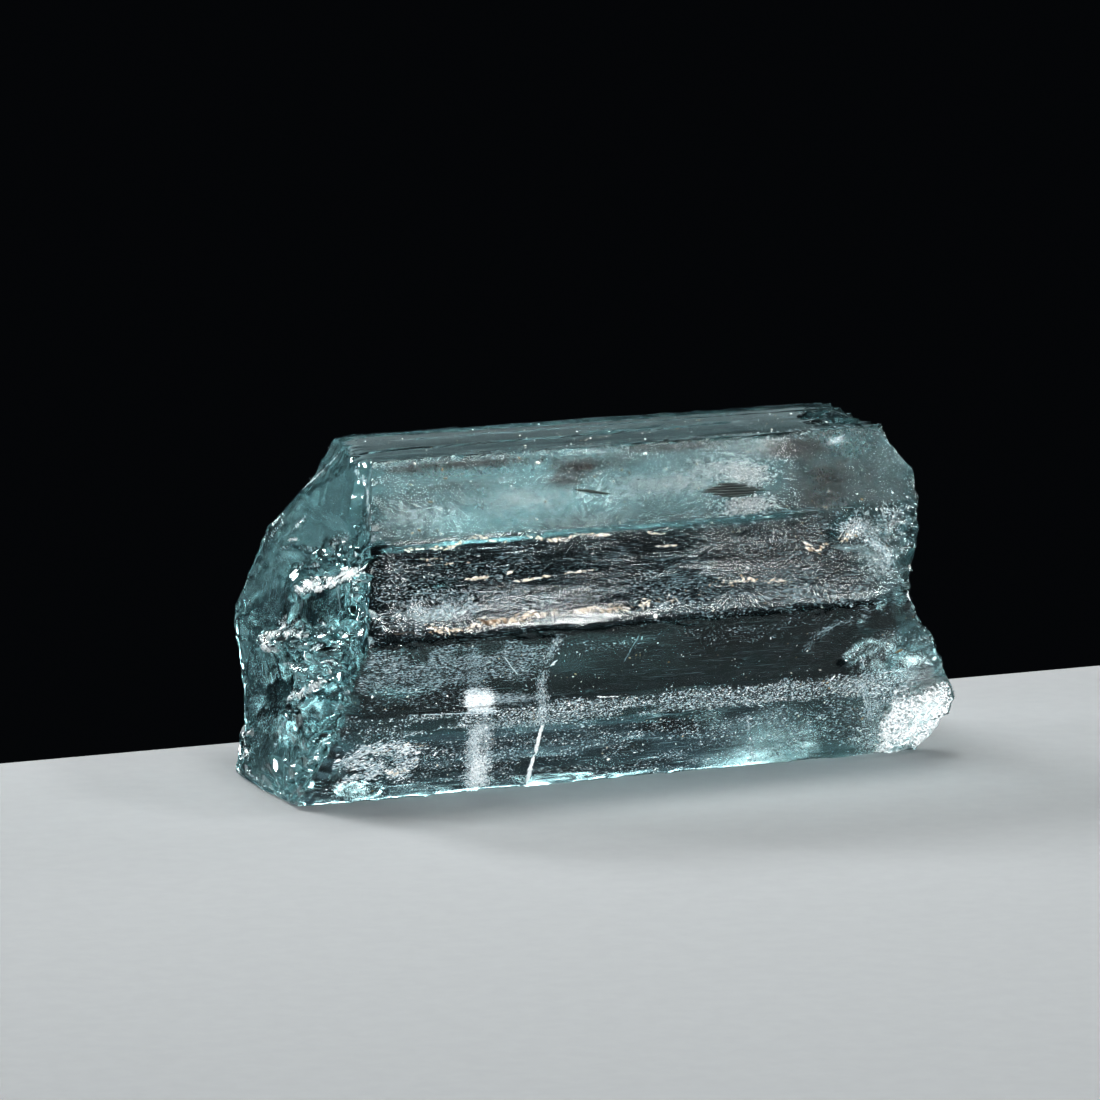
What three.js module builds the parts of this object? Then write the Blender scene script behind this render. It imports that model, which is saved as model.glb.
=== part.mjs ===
// A loose beryl crystal: one broken hexagonal prism that lies on a prism face.
// Millimetres, +Z up. The long axis is X, the front is -Y, and the origin is the
// middle of the face it rests on.

import * as THREE from 'three';

// ---- driving sizes ----

const faceWidth = 7.0;                              // one prism face, ridge to ridge
const axisToFace = faceWidth * Math.sqrt(3) / 2;    // axis to each regular face
const axisToLowerBack = axisToFace + 0.7;           // this face grew further out
const axisHeight = axisToFace;                      // the axis above the resting face

// The six prism faces, in order round the axis: direction of the outward normal in
// the YZ plane, distance from the axis, and where the mesh lines cross the face, as
// shares of its width. The lines crowd together where a ledge runs along the face.
const faces = [
  { name: 'top', turn: 90, reach: axisToFace,
    lines: [0, 0.03, 0.1, 0.2, 0.3, 0.4, 0.48, 0.54, 0.59, 0.64, 0.7, 0.8, 0.92, 0.97] },
  { name: 'upperFront', turn: 150, reach: axisToFace,
    lines: [0, 0.04, 0.12, 0.22, 0.29, 0.36, 0.44, 0.48, 0.56, 0.64, 0.69, 0.8, 0.86, 0.94] },
  { name: 'lowerFront', turn: 210, reach: axisToFace,
    lines: [0, 0.06, 0.14, 0.26, 0.38, 0.44, 0.5, 0.56, 0.66, 0.77, 0.88, 0.95] },
  { name: 'bottom', turn: 270, reach: axisToFace,
    lines: [0, 0.04, 0.1, 0.2, 0.3, 0.4, 0.5, 0.56, 0.62, 0.7, 0.8, 0.9, 0.95, 0.98] },
  { name: 'lowerBack', turn: 330, reach: axisToLowerBack,
    lines: [0, 0.05, 0.12, 0.22, 0.34, 0.42, 0.46, 0.56, 0.68, 0.8, 0.88, 0.95] },
  { name: 'upperBack', turn: 30, reach: axisToFace,
    lines: [0, 0.05, 0.12, 0.2, 0.3, 0.38, 0.42, 0.5, 0.6, 0.68, 0.72, 0.82, 0.9, 0.96] },
];

const stations = 42;          // mesh steps along the crystal
const stepDrift = 0.2;        // how far a step strays from even, as a share of a step
const stepDriftTurn = 4.1;    // radians of that wave from one step to the next

// Growth ledges that run along a face. Past `line`, a share of the face width which
// drifts by `drift` a millimetre along X, the face steps down by `drop`.
const ledges = [
  { face: 'top', line: 0.56, drift: -0.011, drop: 0.12, from: -13, to: 6.5 },
  { face: 'upperFront', line: 0.455, drift: -0.002, drop: 0.10, from: -13, to: 13 },
  { face: 'upperFront', line: 0.665, drift: 0.001, drop: 0.08, from: -9.5, to: -2.2 },
  { face: 'upperFront', line: 0.86, drift: -0.011, drop: 0.14, from: -11, to: 9.5 },
  { face: 'lowerFront', line: 0.44, drift: 0.0, drop: -0.10, from: -12, to: 9 },
  { face: 'lowerFront', line: 0.56, drift: 0.002, drop: 0.14, from: -10, to: 10 },
  { face: 'lowerBack', line: 0.44, drift: 0.004, drop: 0.12, from: -13, to: 4 },
  { face: 'upperBack', line: 0.40, drift: -0.003, drop: -0.13, from: -8, to: 13 },
  { face: 'upperBack', line: 0.70, drift: 0.002, drop: 0.10, from: -13, to: 7 },
];

// How far each ridge is worn or etched back: the ridge comes before the face named.
const ridgeWear = {
  top: { depth: 0.10, width: 0.05, wave: 1.9 },
  upperFront: { depth: 0.06, width: 0.03, wave: 2.7 },
  lowerFront: { depth: 0.14, width: 0.04, wave: 1.3 },
  bottom: { depth: 0.05, width: 0.03, wave: 2.1 },
  lowerBack: { depth: 0.14, width: 0.05, wave: 1.6 },
  upperBack: { depth: 0.20, width: 0.06, wave: 1.1 },
};
const raggedWaves = [
  { share: 1.0, finer: 1.0, turn: 0 },
  { share: 0.6, finer: 2.3, turn: 1.7 },
  { share: 0.4, finer: 5.1, turn: 0.4 },
];

// Pits and chips on the faces: middle, half sizes along X and as a share of the
// face width, and depth.
const pits = [
  { face: 'upperFront', x: -9.0, line: 0.78, halfLength: 1.6, halfShare: 0.09, depth: 0.25 },
  { face: 'upperFront', x: 8.6, line: 0.60, halfLength: 1.7, halfShare: 0.09, depth: 0.35 },
  { face: 'lowerFront', x: -10.9, line: 0.80, halfLength: 1.0, halfShare: 0.15, depth: 0.40 },
  { face: 'lowerFront', x: 7.4, line: 0.20, halfLength: 1.3, halfShare: 0.14, depth: 0.35 },
  { face: 'lowerBack', x: 5.2, line: 0.70, halfLength: 1.9, halfShare: 0.12, depth: 0.30 },
  { face: 'upperBack', x: -6.4, line: 0.16, halfLength: 1.6, halfShare: 0.10, depth: 0.28 },
  { face: 'top', x: 9.6, line: 0.72, halfLength: 1.2, halfShare: 0.12, depth: 0.24 },
];

// Broken left end: two cleaner break planes, x = start + lean * y + rise * height,
// with height measured from the axis.
const leftBreak = { start: -11.15, lean: 0.12, rise: 0.24 };
const leftCornerBreak = { start: -13.79, lean: 0.346, rise: 0.776 };

// Above the corner of the left break a smoother facet stands out a little.
const leftFacet = { out: 0.24, height: 3.7, front: -3.0, back: 3.6 };

// Shell-shaped steps on the left break: below the edge, at height + lean * y + bow * y * y,
// the surface stands out further, from y = `front` to y = `back`, and falls back over `tail`.
const leftSteps = [
  { height: 1.45, lean: -0.027, bow: 0.0415, front: -5.2, back: 1.7, out: 0.46, soft: 0.5, tail: 2.4 },
  { height: -0.35, lean: -0.15, bow: 0, front: -3.8, back: 3.8, out: 0.42, soft: 0.34, tail: 1.6 },
  { height: -1.72, lean: -0.41, bow: 0, front: -3.5, back: -0.7, out: 0.22, soft: 0.3, tail: 0.9 },
  { height: -2.80, lean: -0.38, bow: 0, front: -4.0, back: 0.2, out: 0.32, soft: 0.3, tail: 1.5 },
];
const leftHollows = [
  { y: 3.0, height: -3.4, spread: 1.7, out: -0.36 },
  { y: -4.6, height: -2.6, spread: 1.5, out: -0.45 },
  { y: 5.6, height: -4.0, spread: 2.6, out: -0.60 },
  { y: -1.2, height: -4.2, spread: 1.6, out: -0.25 },
];

// Knobbly right end: one leaning plane with knobs and hollows on it.
const rightBreak = { start: 11.43, lean: 0.266, rise: 0.0 };
const rightKnobs = [
  { y: -5.0, height: 2.8, spread: 2.0, out: 1.10 },
  { y: -4.0, height: 4.6, spread: 1.0, out: 0.70 },
  { y: -4.6, height: -2.9, spread: 2.5, out: 2.30 },
  { y: -3.8, height: -5.3, spread: 1.9, out: 1.50 },
  { y: -1.6, height: -2.2, spread: 1.7, out: -0.70 },
  { y: 0.8, height: 2.6, spread: 1.9, out: -0.85 },
  { y: 3.6, height: 0.2, spread: 1.6, out: 0.55 },
  { y: 1.9, height: -4.4, spread: 1.5, out: 0.60 },
  { y: 5.6, height: -2.0, spread: 1.4, out: -0.60 },
];

// Broad ripples on the right end: two crossing waves, in radians a millimetre.
const rightRipple = { out: 0.14, firstY: 1.9, firstHeight: 0.6, secondY: -0.8, secondHeight: 1.3 };

const endWear = { depth: 0.16, reach: 0.35 };    // chips along the two broken rims

// ---- the shape ----

// 0 before the edge, 1 past it, with a slope `soft` long between.
function step(value, edge, soft) {
  return THREE.MathUtils.smoothstep(value, edge - soft / 2, edge + soft / 2);
}

// 1 inside the stretch from `start` to `end`, fading over `fade` at both ends.
function stretch(value, start, end, fade) {
  return step(value, start, fade) * (1 - step(value, end, fade));
}

// An uneven wave between 0 and 1, for raggedness along the crystal: three sine waves,
// each finer and weaker than the last.
function ragged(x, wave) {
  let mix = 0;
  for (const { share, finer, turn } of raggedWaves) {
    mix += share * Math.sin(finer * wave * x + turn);
  }
  return 0.5 + mix / 4;
}

// Where the planes of two neighbouring faces meet, as [y, height above the axis].
function ridgeBetween(one, other) {
  const a = THREE.MathUtils.degToRad(one.turn);
  const b = THREE.MathUtils.degToRad(other.turn);
  const across = Math.sin(b - a);
  return [
    (one.reach * Math.sin(b) - other.reach * Math.sin(a)) / across,
    (other.reach * Math.cos(a) - one.reach * Math.cos(b)) / across,
  ];
}

function planeOf(cut, y, height) {
  return cut.start + cut.lean * y + cut.rise * height;
}

function bump(knob, y, height) {
  const away = (y - knob.y) ** 2 + (height - knob.height) ** 2;
  return knob.out * Math.exp(-away / knob.spread ** 2);
}

function leftEnd(y, height) {
  let x = Math.max(planeOf(leftBreak, y, height), planeOf(leftCornerBreak, y, height));
  x -= leftFacet.out * stretch(y, leftFacet.front, leftFacet.back, 0.9) * step(height, leftFacet.height, 0.7);
  for (const one of leftSteps) {
    const edge = one.height + one.lean * y + one.bow * y ** 2;
    x -= one.out * (1 - step(height, edge, one.soft)) * stretch(y, one.front, one.back, 0.9)
      * step(height, edge - one.tail / 2 - one.soft, one.tail);
  }
  for (const hollow of leftHollows) {
    x -= bump(hollow, y, height);
  }
  return x;
}

function rightEnd(y, height) {
  let x = planeOf(rightBreak, y, height);
  for (const knob of rightKnobs) {
    x += bump(knob, y, height);
  }
  const first = Math.sin(rightRipple.firstY * y + rightRipple.firstHeight * height);
  const second = Math.sin(rightRipple.secondY * y + rightRipple.secondHeight * height);
  return x + rightRipple.out * first * second;
}

// How far the surface lies above (+) or below (-) the ideal prism face.
function relief(face, next, line, x, toEnd) {
  let out = 0;
  for (const ledge of ledges) {
    if (ledge.face === face.name) {
      const edge = ledge.line + ledge.drift * x;
      out -= ledge.drop * step(line, edge, 0.03) * stretch(x, ledge.from, ledge.to, 1.2)
        * (1 - step(line, 0.93, 0.12));
    }
  }
  for (const pit of pits) {
    if (pit.face === face.name) {
      const away = ((x - pit.x) / pit.halfLength) ** 2 + ((line - pit.line) / pit.halfShare) ** 2;
      out -= pit.depth * Math.max(0, 1 - away);
    }
  }
  const here = ridgeWear[face.name];
  const there = ridgeWear[next.name];
  out -= here.depth * ragged(x, here.wave) * Math.exp(-((line / here.width) ** 2));
  out -= there.depth * ragged(x, there.wave) * Math.exp(-(((1 - line) / there.width) ** 2));
  if (face.name !== 'bottom') {
    out -= endWear.depth * ragged(x + 7 * line + 3 * face.turn, 2.9) * Math.exp(-toEnd / endWear.reach);
  }
  return out;
}

// One point of the ideal section for each mesh line, all the way round.
const section = faces.flatMap((face, index) => {
  const before = faces[(index + faces.length - 1) % faces.length];
  const next = faces[(index + 1) % faces.length];
  const first = ridgeBetween(before, face);
  const last = ridgeBetween(face, next);
  return face.lines.map((line) => ({
    face,
    next,
    line,
    y: THREE.MathUtils.lerp(first[0], last[0], line),
    height: THREE.MathUtils.lerp(first[1], last[1], line),
  }));
});

// The ring of surface points at one share of the way from the left end to the right.
function ringAt(share) {
  return section.map((spot) => {
    const left = leftEnd(spot.y, spot.height);
    const right = rightEnd(spot.y, spot.height);
    const x = THREE.MathUtils.lerp(left, right, share);
    const toEnd = Math.min(x - left, right - x);
    const scale = 1 + relief(spot.face, spot.next, spot.line, x, toEnd) / axisToFace;
    return new THREE.Vector3(x, spot.y * scale, spot.height * scale);
  });
}

// A break surface fills its rim: points blended from the four sides of the ring.
function breakGrid(ring, endSurface) {
  const across = faces[0].lines.length;                          // steps over the top
  const down = faces[1].lines.length + faces[2].lines.length;    // steps down the front
  const total = ring.length;
  const blend = (pick, i, j) => {
    const s = i / across;
    const r = j / down;
    const top = pick(i);
    const front = pick(across + j);
    const bottom = pick(2 * across + down - i);
    const back = pick((total - j) % total);
    const corners = (1 - s) * (1 - r) * pick(0) + s * (1 - r) * pick(across)
      + s * r * pick(across + down) + (1 - s) * r * pick(2 * across + down);
    return (1 - r) * top + r * bottom + (1 - s) * back + s * front - corners;
  };
  const rows = [];
  for (let j = 0; j <= down; j += 1) {
    const row = [];
    for (let i = 0; i <= across; i += 1) {
      const idealY = blend((k) => section[k].y, i, j);
      const idealHeight = blend((k) => section[k].height, i, j);
      const y = blend((k) => ring[k].y, i, j);
      const height = blend((k) => ring[k].z, i, j);
      row.push(new THREE.Vector3(endSurface(idealY, idealHeight), y, height));
    }
    rows.push(row);
  }
  return rows;
}

// Adds a grid of points as triangles; a grid that closes on itself joins its last
// column to its first. `flip` turns the faces the other way.
function addGrid(positions, rows, closes, flip) {
  const columns = closes ? rows[0].length : rows[0].length - 1;
  for (let j = 0; j + 1 < rows.length; j += 1) {
    for (let i = 0; i < columns; i += 1) {
      const next = (i + 1) % rows[0].length;
      const a = rows[j][i];
      const b = rows[j][next];
      const c = rows[j + 1][next];
      const d = rows[j + 1][i];
      const shortWay = a.distanceTo(c) <= b.distanceTo(d);
      const pair = shortWay ? [[a, b, c], [a, c, d]] : [[a, b, d], [b, c, d]];
      for (const corners of pair) {
        const ordered = flip ? [...corners].reverse() : corners;
        for (const corner of ordered) {
          positions.push(corner.x, corner.y, corner.z + axisHeight);
        }
      }
    }
  }
}

function crystalGeometry() {
  const rings = [];
  for (let k = 0; k <= stations; k += 1) {
    const share = k / stations;
    const nudge = k > 0 && k < stations ? stepDrift * Math.sin(stepDriftTurn * k) / stations : 0;
    rings.push(ringAt(share + nudge));
  }
  const positions = [];
  addGrid(positions, rings, true, false);
  addGrid(positions, breakGrid(rings[0], leftEnd), false, true);
  addGrid(positions, breakGrid(rings[stations], rightEnd), false, false);
  const geometry = new THREE.BufferGeometry();
  geometry.setAttribute('position', new THREE.Float32BufferAttribute(positions, 3));
  geometry.computeVertexNormals();
  return geometry;
}

// ---- the part ----

const beryl = new THREE.MeshStandardMaterial({ color: 0x7fb3b4, roughness: 0.12, metalness: 0 });

const crystal = new THREE.Mesh(crystalGeometry(), beryl);
crystal.name = 'beryl_crystal';

const part = new THREE.Group();
part.add(crystal);

export default part;
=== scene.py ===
import math

import bpy
import numpy as np
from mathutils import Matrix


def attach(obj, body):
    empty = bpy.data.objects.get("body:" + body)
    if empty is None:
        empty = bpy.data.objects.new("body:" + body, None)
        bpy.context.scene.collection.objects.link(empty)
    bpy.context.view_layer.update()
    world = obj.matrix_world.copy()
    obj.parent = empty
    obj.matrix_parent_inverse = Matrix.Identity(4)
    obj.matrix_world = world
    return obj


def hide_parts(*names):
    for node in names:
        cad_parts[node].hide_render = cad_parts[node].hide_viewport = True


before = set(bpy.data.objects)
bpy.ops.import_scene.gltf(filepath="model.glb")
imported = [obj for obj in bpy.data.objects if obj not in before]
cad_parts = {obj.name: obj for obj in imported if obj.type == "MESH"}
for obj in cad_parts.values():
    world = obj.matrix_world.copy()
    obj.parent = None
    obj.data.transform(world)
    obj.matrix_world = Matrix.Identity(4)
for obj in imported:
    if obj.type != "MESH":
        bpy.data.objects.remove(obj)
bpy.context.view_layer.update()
mm = 0.001
print("frame loaded")


# sRGB hex to linear red, green, blue and alpha
def hexColour(code):
    parts = [int(code[k:k + 2], 16) / 255 for k in (1, 3, 5)]
    return [c / 12.92 if c <= 0.04045 else ((c + 0.055) / 1.055) ** 2.4 for c in parts] + [1.0]


# adds a shader node, sets its plain values and links its inputs: i0 is an input by number, and a
# node given as a value stands for its first output
def addNode(tree, kind, settings=None, **inputs):
    node = tree.nodes.new("ShaderNode" + kind)
    for name, value in (settings or {}).items():
        setattr(node, name, value)
    for name, value in inputs.items():
        key = int(name[1:]) if name[0] == "i" and name[1:].isdigit() else name.replace("_", " ")
        if isinstance(value, bpy.types.Node):
            value = value.outputs[0]
        if isinstance(value, bpy.types.NodeSocket):
            tree.links.new(value, node.inputs[key])
        else:
            node.inputs[key].default_value = value
    return node


def newMaterial(name):
    material = bpy.data.materials.new(name)
    material.use_nodes = True
    material.node_tree.nodes.clear()
    return material, material.node_tree


# 0 below the edge, 1 above it, smooth over a width of soft
def stepAt(value, edge, soft):
    u = np.clip((value - edge) / soft + 0.5, 0, 1)
    return u * u * (3 - 2 * u)


# 1 between start and end, fading over fade at both
def stretchOf(value, start, end, fade):
    return stepAt(value, start, fade) * (1 - stepAt(value, end, fade))


# a number from 0 to 1 for each whole-number corner, by mixing its bits
def hashed(a, b, c, seed=0):
    h = a * 374761393 + b * 668265263 + c * 2246822519 + seed * 1442695041
    h = ((h ^ (h >> 15)) & 0xFFFFFFFF) * 2246822519 & 0xFFFFFFFF
    h = (h ^ (h >> 13)) * 3266489917 & 0xFFFFFFFF
    return ((h ^ (h >> 16)) & 0xFFFFFFFF) / 4294967296.0


# smooth noise from 0 to 1: the eight hashed corners round a point, blended with the
# smooth cubic 3 p p - 2 p p p
def noise(a, b, c, seed=0):
    a, b, c = np.broadcast_arrays(a, b, c)
    low = [np.floor(v).astype(np.int64) for v in (a, b, c)]
    part = [v - k for v, k in zip((a, b, c), low)]
    pa, pb, pc = [p * p * (3 - 2 * p) for p in part]
    total = 0
    for da, wa in ((0, 1 - pa), (1, pa)):
        for db, wb in ((0, 1 - pb), (1, pb)):
            near = hashed(low[0] + da, low[1] + db, low[2], seed)
            far = hashed(low[0] + da, low[1] + db, low[2] + 1, seed)
            total = total + wa * wb * (near * (1 - pc) + far * pc)
    return total


# sum of noises, each twice as fine and half as strong as the last, from -1 to 1
def roughNoise(a, b, c, octaves, seed):
    total, strength, reach = 0, 1.0, 0.0
    for k in range(octaves):
        total = total + strength * (2 * noise(a * 2 ** k, b * 2 ** k, c * 2 ** k, seed + k) - 1)
        reach += strength
        strength *= 0.5
    return total / reach


# a mesh object from points in mm and quads or triangles
def meshObject(name, points, faces, material, smooth=True):
    mesh = bpy.data.meshes.new(name)
    faces = np.asarray(faces)
    count, corners = faces.shape
    mesh.vertices.add(len(points))
    mesh.vertices.foreach_set("co", (np.asarray(points) * mm).astype(np.float32).ravel())
    mesh.loops.add(count * corners)
    mesh.loops.foreach_set("vertex_index", faces.astype(np.int32).ravel())
    mesh.polygons.add(count)
    starts = np.arange(0, count * corners, corners, dtype=np.int32)
    mesh.polygons.foreach_set("loop_start", starts)
    mesh.update(calc_edges=True)
    mesh.validate()
    mesh.polygons.foreach_set("use_smooth", np.full(len(mesh.polygons), smooth))
    mesh.materials.append(material)
    piece = bpy.data.objects.new(name, mesh)
    bpy.context.scene.collection.objects.link(piece)
    return piece


view = {
    "azimuth": -28.0, "elevation": 8.4,      # degrees
    "distance": 271.9,                       # mm from the middle of the crystal
    "lens": 245.9, "sensor": 36,             # mm
    "aimRight": -1.63, "aimUp": 1.70,        # mm the camera stands off the middle
    "middleX": 0.6,                          # mm
    "clip": (0.01, 5),                       # metres
}


def makeCamera():
    a, e = math.radians(view["azimuth"]), math.radians(view["elevation"])
    back = np.array([math.sin(a) * math.cos(e), -math.cos(a) * math.cos(e), math.sin(e)])
    right = np.array([math.cos(a), math.sin(a), 0.0])
    up = np.cross(back, right)
    middle = np.array([view["middleX"], 0.0, axisToFace])
    place = middle + back * view["distance"] + right * view["aimRight"] + up * view["aimUp"]
    data = bpy.data.cameras.new("camera")
    data.lens, data.sensor_width = view["lens"], view["sensor"]
    data.clip_start, data.clip_end = view["clip"]
    camera = bpy.data.objects.new("camera", data)
    camera.location = place * mm
    camera.rotation_euler = (math.radians(90 - view["elevation"]), 0, a)
    bpy.context.scene.collection.objects.link(camera)
    bpy.context.scene.camera = camera


crystal = {
    "faceWidth": 7.0, "lowerBackExtra": 0.7,      # mm
    "linesPerFace": 80, "stations": 150,
    "crowding": 0.035,      # how much closer the rings lie at the breaks
    "sharpFrom": 35,        # degrees
    # outward normal of each face in the YZ plane, degrees, going round from the top
    "turns": {"top": 90, "upperFront": 150, "lowerFront": 210, "bottom": 270, "lowerBack": 330,
              "upperBack": 30},
    # ledges of each face: line (a share of the face width), its drift with X, drop, x from, to;
    # past the line the face steps down, and comes back before the next ridge
    "ledges": [
        "top", (0.56, -0.011, 0.06, -13, 6.5), (0.31, -0.004, 0.025, -7, 13), (0.8, 0.002, 0.02, -13, 3.5),
        "upperFront", (0.455, -0.002, 0.03, -13, 13), (0.665, 0.001, 0.025, -9.5, -2.2),
        (0.875, -0.01, 0.01, -11, 9.5),
        "lowerFront", (0.435, 0, -0.04, -12, 9), (0.565, 0.002, 0.05, -10, 10),
        "lowerBack", (0.44, 0.004, 0.015, -13, 4),
        "upperBack", (0.4, -0.003, -0.1, -8, 13), (0.7, 0.002, 0.08, -13, 7),
    ],
    "ledgeSoft": (0.016, 0.10), "ledgeReturn": (0.88, 0.22), "ledgeFade": 1.2,
    # the ridge before each face: depth of its chips, how far they reach, chip size, all mm
    "wear": {
        "top": (0.10, 0.22, 0.40), "upperFront": (0.07, 0.14, 0.24), "lowerFront": (0.10, 0.18, 0.30),
        "bottom": (0.05, 0.20, 0.40), "lowerBack": (0.12, 0.24, 0.40), "upperBack": (0.16, 0.26, 0.45),
    },
    # height of the streaky growth terraces on each face, mm
    "terraces": {"top": 0.015, "upperFront": 0.02, "lowerFront": 0.02, "bottom": 0.03,
                 "lowerBack": 0.014, "upperBack": 0.03},
    # etched hollows of each face: x, line, half length, half share, depth
    "hollows": [
        "upperFront", (-9, 0.78, 1.7, 0.1, 0.16), (8.8, 0.6, 1.9, 0.13, 0.34),
        "lowerFront", (-10.9, 0.8, 1.2, 0.17, 0.34), (7.4, 0.22, 1.5, 0.16, 0.3),
        "lowerBack", (5.2, 0.7, 1.9, 0.12, 0.3),
        "upperBack", (-6.4, 0.16, 1.6, 0.1, 0.28),
        "top", (9.6, 0.72, 1.2, 0.12, 0.2),
    ],
    # breaks: x = start + lean * y + rise * height above the axis
    "leftBreak": (-11.15, 0.12, 0.24), "leftCornerBreak": (-13.79, 0.346, 0.776),
    "leftLip": {"out": 0.24, "front": -3.0, "back": 3.6, "height": 3.7},
    # shell steps of the left break: below the edge height + lean * y + bow * y * y, between
    # front and back, it stands out and fades away again over tail: height, lean, bow, front,
    # back, out, soft, tail
    "leftSteps": [
        (1.45, -0.027, 0.0415, -5.2, 1.7, 0.46, 0.5, 2.4), (1.95, -0.17, 0, -2.3, 1.9, 0.12, 0.12, 0.5),
        (2.45, -0.08, 0, -1.4, 4.4, 0.07, 0.09, 0.5), (-0.35, -0.15, 0, -3.8, 3.8, 0.42, 0.34, 1.6),
        (-1.72, -0.41, 0, -3.5, -0.7, 0.22, 0.2, 0.9), (-2.8, -0.38, 0, -4, 0.2, 0.32, 0.3, 1.5),
    ],
    # bumps of an end: y, height, spread, out
    "leftHollows": [
        (3, -3.4, 1.7, -0.36), (-4.6, -2.6, 1.5, -0.45), (5.6, -4, 2.6, -0.6), (-1.2, -4.2, 1.6, -0.25),
    ],
    "leftShells": (0.08, 0.02), "rightShells": (0.30, 0.10),      # broad and fine chips, mm
    # splintered patches of the left end: y, height, half length, half height, lean degrees,
    # splinter size, tilt of the splinters
    "leftHackle": [
        (-1.7, 1.72, 2.9, 0.42, -17, 0.42, 0.75), (-1.4, 2.55, 1.9, 0.3, -10, 0.34, 0.6),
        (-1.6, -0.35, 3.9, 0.5, -8, 0.38, 0.7), (1.6, -0.85, 2.2, 0.55, -16, 0.4, 0.75),
        (-2.2, -1.25, 2, 0.65, -30, 0.36, 0.65), (-1.9, -2.35, 2.3, 0.42, -27, 0.36, 0.7),
        (-3.2, 3.2, 1.5, 0.55, -20, 0.36, 0.45), (2.6, 2.75, 2, 0.35, -14, 0.3, 0.45),
        (-4.9, -0.7, 1.3, 3.2, 8, 0.5, 0.4), (-3.6, -4.4, 2.6, 1.2, -20, 0.5, 0.35),
        (3.9, -5, 2.2, 0.8, 10, 0.45, 0.3),
    ],
    "leftFan": {"y": -2.6, "height": -6.3, "reach": 3.2, "ribs": 31, "out": 0.022},
    "rightBreak": (11.43, 0.266, 0.0),
    "rightKnobs": [
        (-5, 2.8, 2, 1.1), (-4, 4.6, 1, 0.7), (-4.6, -2.9, 2.5, 2.3), (-3.8, -5.3, 1.9, 1.5),
        (-1.6, -2.2, 1.7, -0.7), (0.8, 2.6, 1.9, -0.85), (3.6, 0.2, 1.6, 0.55), (1.9, -4.4, 1.5, 0.6),
        (5.6, -2, 1.4, -0.6),
    ],
    "endWear": (0.16, 0.30),
    "backBow": 0.20,                     # mm the lower back face swells near the bottom
    "breakHaze": (0.15, 0.16),           # frosting of the left and the right break
    "linedFaces": (0, 1, 2),             # growth lines show best on the top and the front
    # etched zones of each face: line from, line to, x from, x to, how frosted
    "etched": [
        "top", (0, 1, -14, 14, 0.06), (0.55, 1, -14, 14, 0.1),
        "upperFront", (0, 0.45, -14, 6.4, 0.42), (0, 0.45, 6, 14, 0.6), (0.16, 0.44, -7.4, -2, 0.6),
        (0.12, 0.42, -1.8, 2.2, 0.56), (0.02, 0.13, -9, 0, 0.6), (0.45, 1, -14, 14, 0.2),
        (0.45, 0.95, 1.5, 9, 0.34), (0.68, 0.92, -11, -7.6, 0.34), (0.4, 0.86, 6.6, 13, 0.36),
        "lowerFront", (0, 0.43, -14, 14, 0.03), (0, 0.26, -13, -5, 0.26), (0.02, 0.42, -13, -5.2, 0.16),
        (0.43, 0.58, -13, 11, 0.5), (0.58, 1, -14, 14, 0.14), (0.58, 1, 2.4, 10.4, 0.28),
        (0.58, 1, -14, -8.4, 0.24), (0, 0.6, 6.6, 14, 0.22), (0.5, 1, 10, 14, 0.9),
        "bottom", (0, 1, -14, 14, 0.2),
        "lowerBack", (0, 1, -14, 14, 0.03),
        "upperBack", (0, 1, -14, 14, 0.05), (0, 0.12, -14, 14, 0.3),
    ],
}
faceNames = list(crystal["turns"])
axisToFace = crystal["faceWidth"] * math.sqrt(3) / 2


# the rows of a table, each with its surface put first; a name in the table says which
# surface the rows after it lie on
def rowsOf(table):
    rows = []
    for entry in table:
        if isinstance(entry, str):
            surface = entry
        else:
            rows.append((surface, *entry))
    return rows


def faceReach(name):
    return axisToFace + (crystal["lowerBackExtra"] if name == "lowerBack" else 0)


# corners of the ideal section, where neighbouring face planes meet, as y and height
# above the axis; the first is repeated at the end
def sectionCorners():
    turns = [math.radians(crystal["turns"][n]) for n in faceNames]
    reaches = [faceReach(n) for n in faceNames]
    corners = []
    for k in range(6):
        a, b, ra, rb = turns[k - 1], turns[k], reaches[k - 1], reaches[k]
        across = math.sin(b - a)
        corners.append(((ra * math.sin(b) - rb * math.sin(a)) / across,
                        (rb * math.cos(a) - ra * math.cos(b)) / across))
    return np.array(corners + corners[:1])


# ideal y and height at a share of the way across a face
def idealAt(face, line):
    corners = sectionCorners()
    spot = corners[face] * (1 - line[..., None]) + corners[face + 1] * line[..., None]
    return spot[..., 0], spot[..., 1]


def planeOf(cut, y, h):
    return cut[0] + cut[1] * y + cut[2] * h


# gaussian bump: out times e to the minus (distance over spread) squared
def bumpOf(knob, y, h):
    return knob[3] * np.exp(-((y - knob[0]) ** 2 + (h - knob[1]) ** 2) / knob[2] ** 2)


# the nine cells round a point: its place from each cell's hashed centre, and three
# hashed numbers of the cell
def cellsRound(a, b, seed):
    a, b = np.broadcast_arrays(a, b)
    for da in (-1, 0, 1):
        for db in (-1, 0, 1):
            ca, cb = np.floor(a).astype(np.int64) + da, np.floor(b).astype(np.int64) + db
            own = [hashed(ca, cb, k, seed) for k in range(5)]
            yield a - ca - own[0], b - cb - own[1], own[2:]


# shell-shaped chips: each cell holds a tilted bowl and the lowest bowl wins, so hollows
# meet in sharp ridges; 0 in a hollow, about 1 on a ridge
def shellNoise(a, b, seed):
    lowest = 9.0
    for pa, pb, own in cellsRound(a, b, seed):
        bowl = pa ** 2 + pb ** 2 + 0.5 * pa * (own[0] - 0.5) + 0.5 * pb * (own[1] - 0.5) + 0.3 * own[2]
        lowest = np.minimum(lowest, bowl)
    return np.clip(1.6 * lowest, 0, 1.4)


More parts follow.
